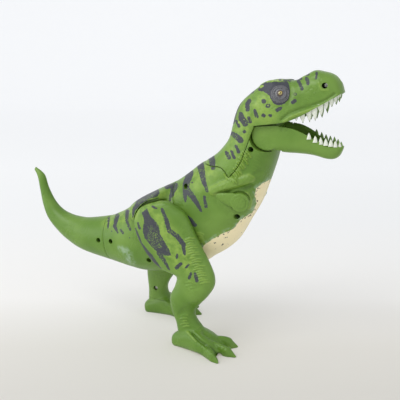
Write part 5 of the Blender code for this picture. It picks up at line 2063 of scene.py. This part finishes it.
@dataclass
class LowerJaw:
    """The open lower jaw: two arms on the axle, a trough and a bumpy gum edge."""

    arm_in: float = 17.0
    arm_out: float = 21.2
    cheek_round: float = 0.8
    wall: float = 3.1
    trough_lift: float = 12.0
    posts: int = 28
    # First place of the posts along the jaw's sections, and how far they go on
    post_run: Tuple[float, float] = (0.9, 5.1)
    post_inset: float = 1.5
    post_ends: Tuple[float, float] = (9.0, 0.5)
    post_radius: float = 1.45
    post_tip_radius: float = 0.75
    throat: Sequence[Tuple[float, float, float]] = ((80.0, -18.4, 190.0), (119.5, 18.4, 240.0))
    cheek_gap: Tuple[Tuple[float, float], ...] = (
        (80.0, 226.6), (97.0, 227.0), (112.0, 228.3), (121.0, 228.6), (130.0, 227.6), (130.0, 245.0),
        (80.0, 245.0),
    )

    def gum(self) -> List[Form]:
        """The two side walls as rows of blunt posts, so that their upper edge is bumpy.

        Returns:
            The posts of both sides.
        """
        posts = []
        for side in Side:
            for index in range(self.posts):
                at = self.post_run[0] + self.post_run[1] * index / (self.posts - 1)
                row = catmull(JAW, np.array([at]))[0]
                out = side.value * (row[4] - self.post_inset)
                foot, tip = ((row[0], out, row[1] - below) for below in self.post_ends)
                posts.append(bar("gum", foot, tip, self.post_radius, 14, self.post_tip_radius))
        return posts

    def build(self) -> None:
        """Make the jaw and dress it."""
        forms = [SectionLoft(JAW, 0.0, len(JAW) - 1, 1.0, 96).whole("lower_jaw_shell")]
        for side in Side:
            outs = (self.arm_in, self.arm_out)
            near, far = ((JAW_CHEEK[0], side.value * out, JAW_CHEEK[1]) for out in outs)
            forms.append(bar("cheek", near, far, JAW_DISC_RADIUS, 96, JAW_DISC_RADIUS - self.cheek_round))
        forms += self.gum()
        jaw = fuse("lower_jaw_shell", forms, 0.6, 5)
        trough = SectionLoft(JAW, 0.0, len(JAW) - 2, 1.5, 64, self.wall, self.trough_lift).whole("trough")
        carve(jaw, trough)
        carve(jaw, block("throat", *self.throat))
        for side in Side:
            edges = sorted((side.value * 15.0, side.value * 30.0))
            carve(jaw, prism("cheek_gap", self.cheek_gap, edges[0], edges[1]))
        lay_paint(jaw, (), (), no_relief)
        settle(jaw, "jaw", ["lower_jaw"], 50.0)


@dataclass
class Leg:
    """A leg: the outer moulding with the foot and the inner cover."""

    side: Side
    table: Points
    heel: Tuple[float, float]
    heading: float
    length: float
    seam: float
    screws: List[Tuple[float, float, float]]
    to_right: Callable[[Points], Points]
    toe_arch: float = 1.6
    flat: Tuple[float, float] = (15.0, 35.8)
    flat_radius: float = 54.0
    # Planes that bound the outer moulding and its cover, with the gap of their joint between them
    outer_face: float = 38.15
    cover_face: float = 37.85
    cover_gap: float = 0.3

    def ring(self, values: Points, around: int) -> Points:
        """One section of the leg.

        Args:
            values: a row of the table.
            around: number of points.

        Returns:
            The points of the section.
        """
        angles = np.linspace(0.0, 2.0 * math.pi, around + 1)[:-1]
        rear = np.array((values[0], 0.0, values[1]))
        front = np.array((values[2], 0.0, values[3]))
        middle = (rear + front) / 2 + np.array((0.0, self.side.value * values[4], 0.0))
        u = power(np.cos(angles), np.array(2.3))[:, None]
        v = power(np.sin(angles), np.array(2.3))[:, None]
        return middle + (front - rear) / 2 * u + np.array((0.0, values[5], 0.0)) * v

    def limb(self) -> Form:
        """Thigh and shank as one loft.

        Returns:
            The closed form.
        """
        rows = catmull(self.table, even_places(self.table, 0.0, len(self.table) - 1, 1.2))
        rings = np.array([self.ring(row, 72) for row in rows])
        return tube_form("limb", rings, Surface.PAINTED)

    def foot_ring(self, along: float, beside: float, low: float, high: float, width: float, way: Points,
                  squareness: float) -> Points:
        """One upright section of the foot or of a toe.

        Args:
            along: distance ahead of the heel.
            beside: distance outward.
            low: lower edge.
            high: upper edge.
            width: half its width.
            way: the way that the section faces, ahead and outward.
            squareness: 2 is an ellipse, more is squarer.

        Returns:
            The points of the section.
        """
        turn = math.radians(self.heading)
        ahead = np.array((math.cos(turn), math.sin(turn), 0.0))
        out = np.array((-math.sin(turn), math.cos(turn), 0.0)) * self.side.value
        angles = np.linspace(0.0, 2.0 * math.pi, 41)[:-1]
        scale = self.length / TOES[1][1][0]
        heading = ahead * way[0] + out * way[1]
        across = np.array((-heading[1], heading[0], 0.0)) * width
        heel = np.array((self.heel[0], self.heel[1], (low + high) / 2))
        centre = heel + ahead * along * scale + out * beside
        u = power(np.cos(angles), np.array(squareness))[:, None]
        v = power(np.sin(angles), np.array(squareness))[:, None]
        return centre + np.array((0.0, 0.0, (high - low) / 2)) * u + across * v

    def foot(self) -> List[Form]:
        """Sole, instep and three clawed toes.

        Returns:
            The instep and the toes.
        """
        sections = catmull(FOOT, np.linspace(0.0, len(FOOT) - 1, 40))
        ahead = np.array((1.0, 0.0))
        rings = [self.foot_ring(s, 0.0, low, high, width, ahead, 2.5) for s, low, high, width in sections]
        forms = [tube_form("instep", np.array(rings), Surface.PAINTED)]
        for root, tip in TOES:
            run = np.array(tip) - np.array(root)
            way = run / np.linalg.norm(run)
            rings = []
            for share, low, high, width in catmull(TOE, np.linspace(0.0, len(TOE) - 1, 34)):
                arch = self.toe_arch * math.sin(math.pi * min(max(share, 0.0), 1.0)) ** 2
                along = root[0] + run[0] * share
                beside = root[1] + run[1] * share
                rings.append(self.foot_ring(along, beside, low, high + arch, width, way, 2.1))
            forms.append(tube_form("toe", np.array(rings), Surface.PAINTED))
        return forms

    def build(self) -> None:
        """Make the leg, split off its cover and dress both."""
        name = "leg_" + self.side.name.lower()
        sign = self.side.value
        leg = fuse(name + "_outer_hide", [self.limb()] + self.foot(), 0.62, 8)
        sculpt_skin(leg, leg_relief, self.to_right)
        carve(leg, half_space("floor", (0.0, 0.0, 0.02), (0.0, 0.0, -1.0)))
        flat = [(HIP[0], sign * out, HIP[1]) for out in self.flat]
        carve(leg, bar("flat", flat[0], flat[1], self.flat_radius, 128))
        cover = leg.copy()
        cover.data = leg.data.copy()
        cover.name = name + "_inner_hide"
        bpy.context.scene.collection.objects.link(cover)
        near = sorted((sign * 10.0, sign * self.outer_face))
        carve(leg, block("room", (-120.0, near[0], self.seam), (140.0, near[1], 220.0)))
        near = sorted((sign * 10.0, sign * self.cover_face))
        carve(cover, block("bound", (-120.0, near[0], self.seam + self.cover_gap),
                           (140.0, near[1], 220.0)), 'INTERSECT')
        for x, z, depth in self.screws:
            carve(cover, bar("recess", (x, sign * 20.0, z), (x, sign * depth, z), RECESS_RADIUS, 32))
        for form, node in ((leg, name + "_outer"), (cover, name + "_inner")):
            lay_paint(form, (THIGH_STRIPES, THIGH_PATCH) if form is leg else (), (), leg_relief,
                      self.to_right)
            settle(form, name, [node])


@dataclass
class Arm:
    """A small arm on its tilted pivot."""

    side: Side
    disc: float = 6.6
    disc_round: float = 0.9
    button: Tuple[float, float] = (5.5, 7.2)
    button_inset: float = 3.2
    button_round: float = 0.6

    def build(self) -> None:
        """Make the arm and dress it."""
        place = arm_matrix(self.side)
        name = "arm_" + self.side.name.lower()
        foot, top = (place @ Vector((0.0, 0.0, out)) for out in (0.0, self.disc))
        disc = bar("disc", foot, top, ARM_DISC_RADIUS, 96)
        finish_with(disc, 'BEVEL', width=self.disc_round * MM, segments=4, limit_method='ANGLE')
        foot, top = (place @ Vector((0.0, 0.0, out)) for out in self.button)
        button = bar("button", foot, top, ARM_DISC_RADIUS - self.button_inset, 96)
        finish_with(button, 'BEVEL', width=self.button_round * MM, segments=4, limit_method='ANGLE')
        rings = []
        for along, breadth, low, high in catmull(ARM, np.linspace(0.0, len(ARM) - 1, 40)):
            ring = []
            for angle in np.linspace(0.0, 2.0 * math.pi, 37)[:-1]:
                local = Vector((along, breadth * math.cos(angle),
                                (low + high) / 2 + (high - low) / 2 * math.sin(angle)))
                ring.append(tuple(place @ local))
            rings.append(ring)
        limb = tube_form("limb", np.array(rings), Surface.PAINTED)
        finish_with(limb, 'REMESH', mode='VOXEL', voxel_size=0.5 * MM)
        finish_with(limb, 'SMOOTH', factor=0.5, iterations=4)
        arm = join((disc, button, limb), name + "_hide")
        fill_slots(arm, Surface.PAINTED)
        lay_paint(arm, (), (), no_relief)
        settle(arm, name, [name], 50.0)


class Hardware:
    """Screws, washers and the axle, which keep their CAD shapes."""

    @staticmethod
    def dress() -> None:
        """Give every metal node its steel."""
        for name, node in frame["nodes"].items():
            if "screw" in name or "washer" in name or "axle" in name:
                wear_finish(node, Finish.STEEL)
                LOG.info("%s: steel", name)


@dataclass
class Studio:
    """Pale sweep, soft lamps and the camera at the display view."""

    width: float = 6.0
    depth: float = 3.2
    height: float = 3.0
    bend: float = 0.8
    # Glow of the paper at distances behind the figure, paler towards the back
    fade: Tuple[Tuple[float, Colour], ...] = (
        (-0.15, (0.225, 0.205, 0.165, 1.0)), (-0.05, (0.285, 0.265, 0.225, 1.0)),
        (0.09, (0.430, 0.420, 0.405, 1.0)),
        (0.47, (0.450, 0.457, 0.465, 1.0)), (0.95, (0.510, 0.520, 0.535, 1.0)),
        (2.60, (0.580, 0.590, 0.610, 1.0)),
    )
    # Colour of the paper as it lights the figure, and as it is seen
    paper: Colour = (0.86, 0.86, 0.855, 1.0)
    seen_paper: Colour = (0.45, 0.45, 0.448, 1.0)
    sky: Colour = (0.96, 0.98, 1.0, 1.0)
    sky_strength: float = 0.70
    aim: Tuple[float, float, float] = (0.0, 0.0, 0.12)
    # Name, place, size and power of each lamp
    lamps: Tuple[Tuple[str, Tuple[float, float, float], float, float], ...] = (
        ("key_lamp", (-0.55, -1.2, 1.6), 1.2, 19.0), ("side_lamp", (-1.4, -0.8, 0.35), 1.0, 6.5),
        ("fill_lamp", (1.6, -1.3, 0.9), 1.6, 2.8),
    )

    def sweep(self) -> None:
        """A floor that bends up into a backdrop."""
        turn = VIEW.turn
        profile = [(-2.5, 0.0), (self.depth - self.bend, 0.0)]
        for step in range(1, 13):
            angle = math.pi / 2 * step / 12
            profile.append((self.depth - self.bend + self.bend * math.sin(angle),
                            self.bend - self.bend * math.cos(angle)))
        profile.append((self.depth, self.height))
        verts = []
        for distance, up in profile:
            for beside in (-self.width / 2, self.width / 2):
                x = -distance * math.sin(turn) + beside * math.cos(turn)
                y = distance * math.cos(turn) + beside * math.sin(turn)
                verts.append((x, y, up))
        faces = [(2 * i, 2 * i + 1, 2 * i + 3, 2 * i + 2) for i in range(len(profile) - 1)]
        mesh = bpy.data.meshes.new("studio_sweep")
        mesh.from_pydata(verts, [], faces)
        mesh.shade_smooth()
        obj = bpy.data.objects.new("studio_sweep", mesh)
        bpy.context.scene.collection.objects.link(obj)
        mat, board, shader = new_material("studio_paper")
        path = board.add('ShaderNodeLightPath').outputs
        seen = board.plus(path["Is Camera Ray"], path["Is Glossy Ray"])
        seen = board.plus(seen, path["Is Transmission Ray"], clamp=True)
        place = board.place()
        away = board.add('ShaderNodeVectorMath', operation='DOT_PRODUCT')
        board.link(place, away.inputs[0])
        away.inputs[1].default_value = (-math.sin(turn), math.cos(turn), 0.0)
        reach = self.fade[-1][0] - self.fade[0][0]
        share = board.math('DIVIDE', board.less(away.outputs["Value"], self.fade[0][0]), reach)
        tones = board.add('ShaderNodeValToRGB')
        board.link(share, tones.inputs["Fac"])
        stops = tones.color_ramp.elements
        stops[0].color = self.fade[0][1]
        stops[1].color = self.fade[-1][1]
        for distance, tone in self.fade[1:-1]:
            stops.new((distance - self.fade[0][0]) / reach).color = tone
        board.link(tones.outputs["Color"], shader.inputs["Emission Color"])
        board.link(seen, shader.inputs["Emission Strength"])
        board.link(board.mix(seen, self.paper, self.seen_paper), shader.inputs["Base Color"])
        shader.inputs["Roughness"].default_value = 0.9
        shader.inputs["Specular IOR Level"].default_value = 0.1
        mesh.materials.append(mat)

    def lamp(self, name: str, place: Tuple[float, float, float], size: float, power_watts: float) -> None:
        """A large soft lamp aimed at the figure.

        Args:
            name: its name.
            place: where it stands, in metres.
            size: its width.
            power_watts: its power.
        """
        data = bpy.data.lights.new(name, 'AREA')
        data.size = size
        data.energy = power_watts
        obj = bpy.data.objects.new(name, data)
        obj.location = place
        obj.rotation_euler = (Vector(self.aim) - Vector(place)).to_track_quat('-Z', 'Y').to_euler()
        bpy.context.scene.collection.objects.link(obj)

    def build(self) -> None:
        """Set the stage, the lamps, the world and the camera."""
        self.sweep()
        for lamp in self.lamps:
            self.lamp(*lamp)
        world = bpy.data.worlds.new("studio_world")
        world.use_nodes = True
        world.node_tree.nodes["Background"].inputs["Color"].default_value = self.sky
        world.node_tree.nodes["Background"].inputs["Strength"].default_value = self.sky_strength
        bpy.context.scene.world = world
        data = bpy.data.cameras.new("display_camera")
        data.lens = VIEW.lens
        data.sensor_width = VIEW.sensor
        camera = bpy.data.objects.new("display_camera", data)
        camera.location = VIEW.eye
        camera.rotation_euler = (VIEW.tilt, 0.0, VIEW.turn)
        bpy.context.scene.collection.objects.link(camera)
        bpy.context.scene.camera = camera
        bpy.context.scene.view_settings.view_transform = 'Standard'


def main() -> None:
    """Build the figure piece by piece, then its stage."""
    Tail("tail", "tail", 0.0, TAIL_SEAM + 0.3, TAIL_SCREWS, dark=()).build()
    Pelvis("pelvis", "pelvis", TAIL_SEAM - 0.4, WAIST_SEAM + 0.4, PELVIS_SCREWS, cream=(BELLY_PATCH,)).build()
    Torso("torso", "torso", WAIST_SEAM - 0.4, NECK_TOP + 1, TORSO_SCREWS, cream=(BELLY_PATCH,),
          spacing=0.7, around=340).build()
    Head("head", "head", NAPE_START - 1.0, float(TIP), HEAD_SCREWS, dark=(HIDE_STRIPES, EYE_PATCH)).build()
    Eyes().build()
    Teeth("upper_teeth", "head", UPPER_TEETH, 0.16, 3.1).build()
    LowerJaw().build()
    Teeth("lower_teeth", "jaw", LOWER_TEETH, -0.04, 3.0, down=False).build()
    Leg(Side.RIGHT, RIGHT_LEG, (14.0, -34.0), -8.0, 73.0, 26.0, [(28.0, 40.0, 33.0), (10.0, 96.0, 38.6)],
        as_is).build()
    Leg(Side.LEFT, LEFT_LEG, (-53.0, 35.0), 8.0, 68.0, 18.0, [(-36.5, 31.0, 33.0), (-12.0, 96.0, 38.6)],
        left_leg_as_right).build()
    for side in Side:
        Arm(side).build()
    Hardware.dress()
    Studio().build()


if __name__ == "__main__":
    main()
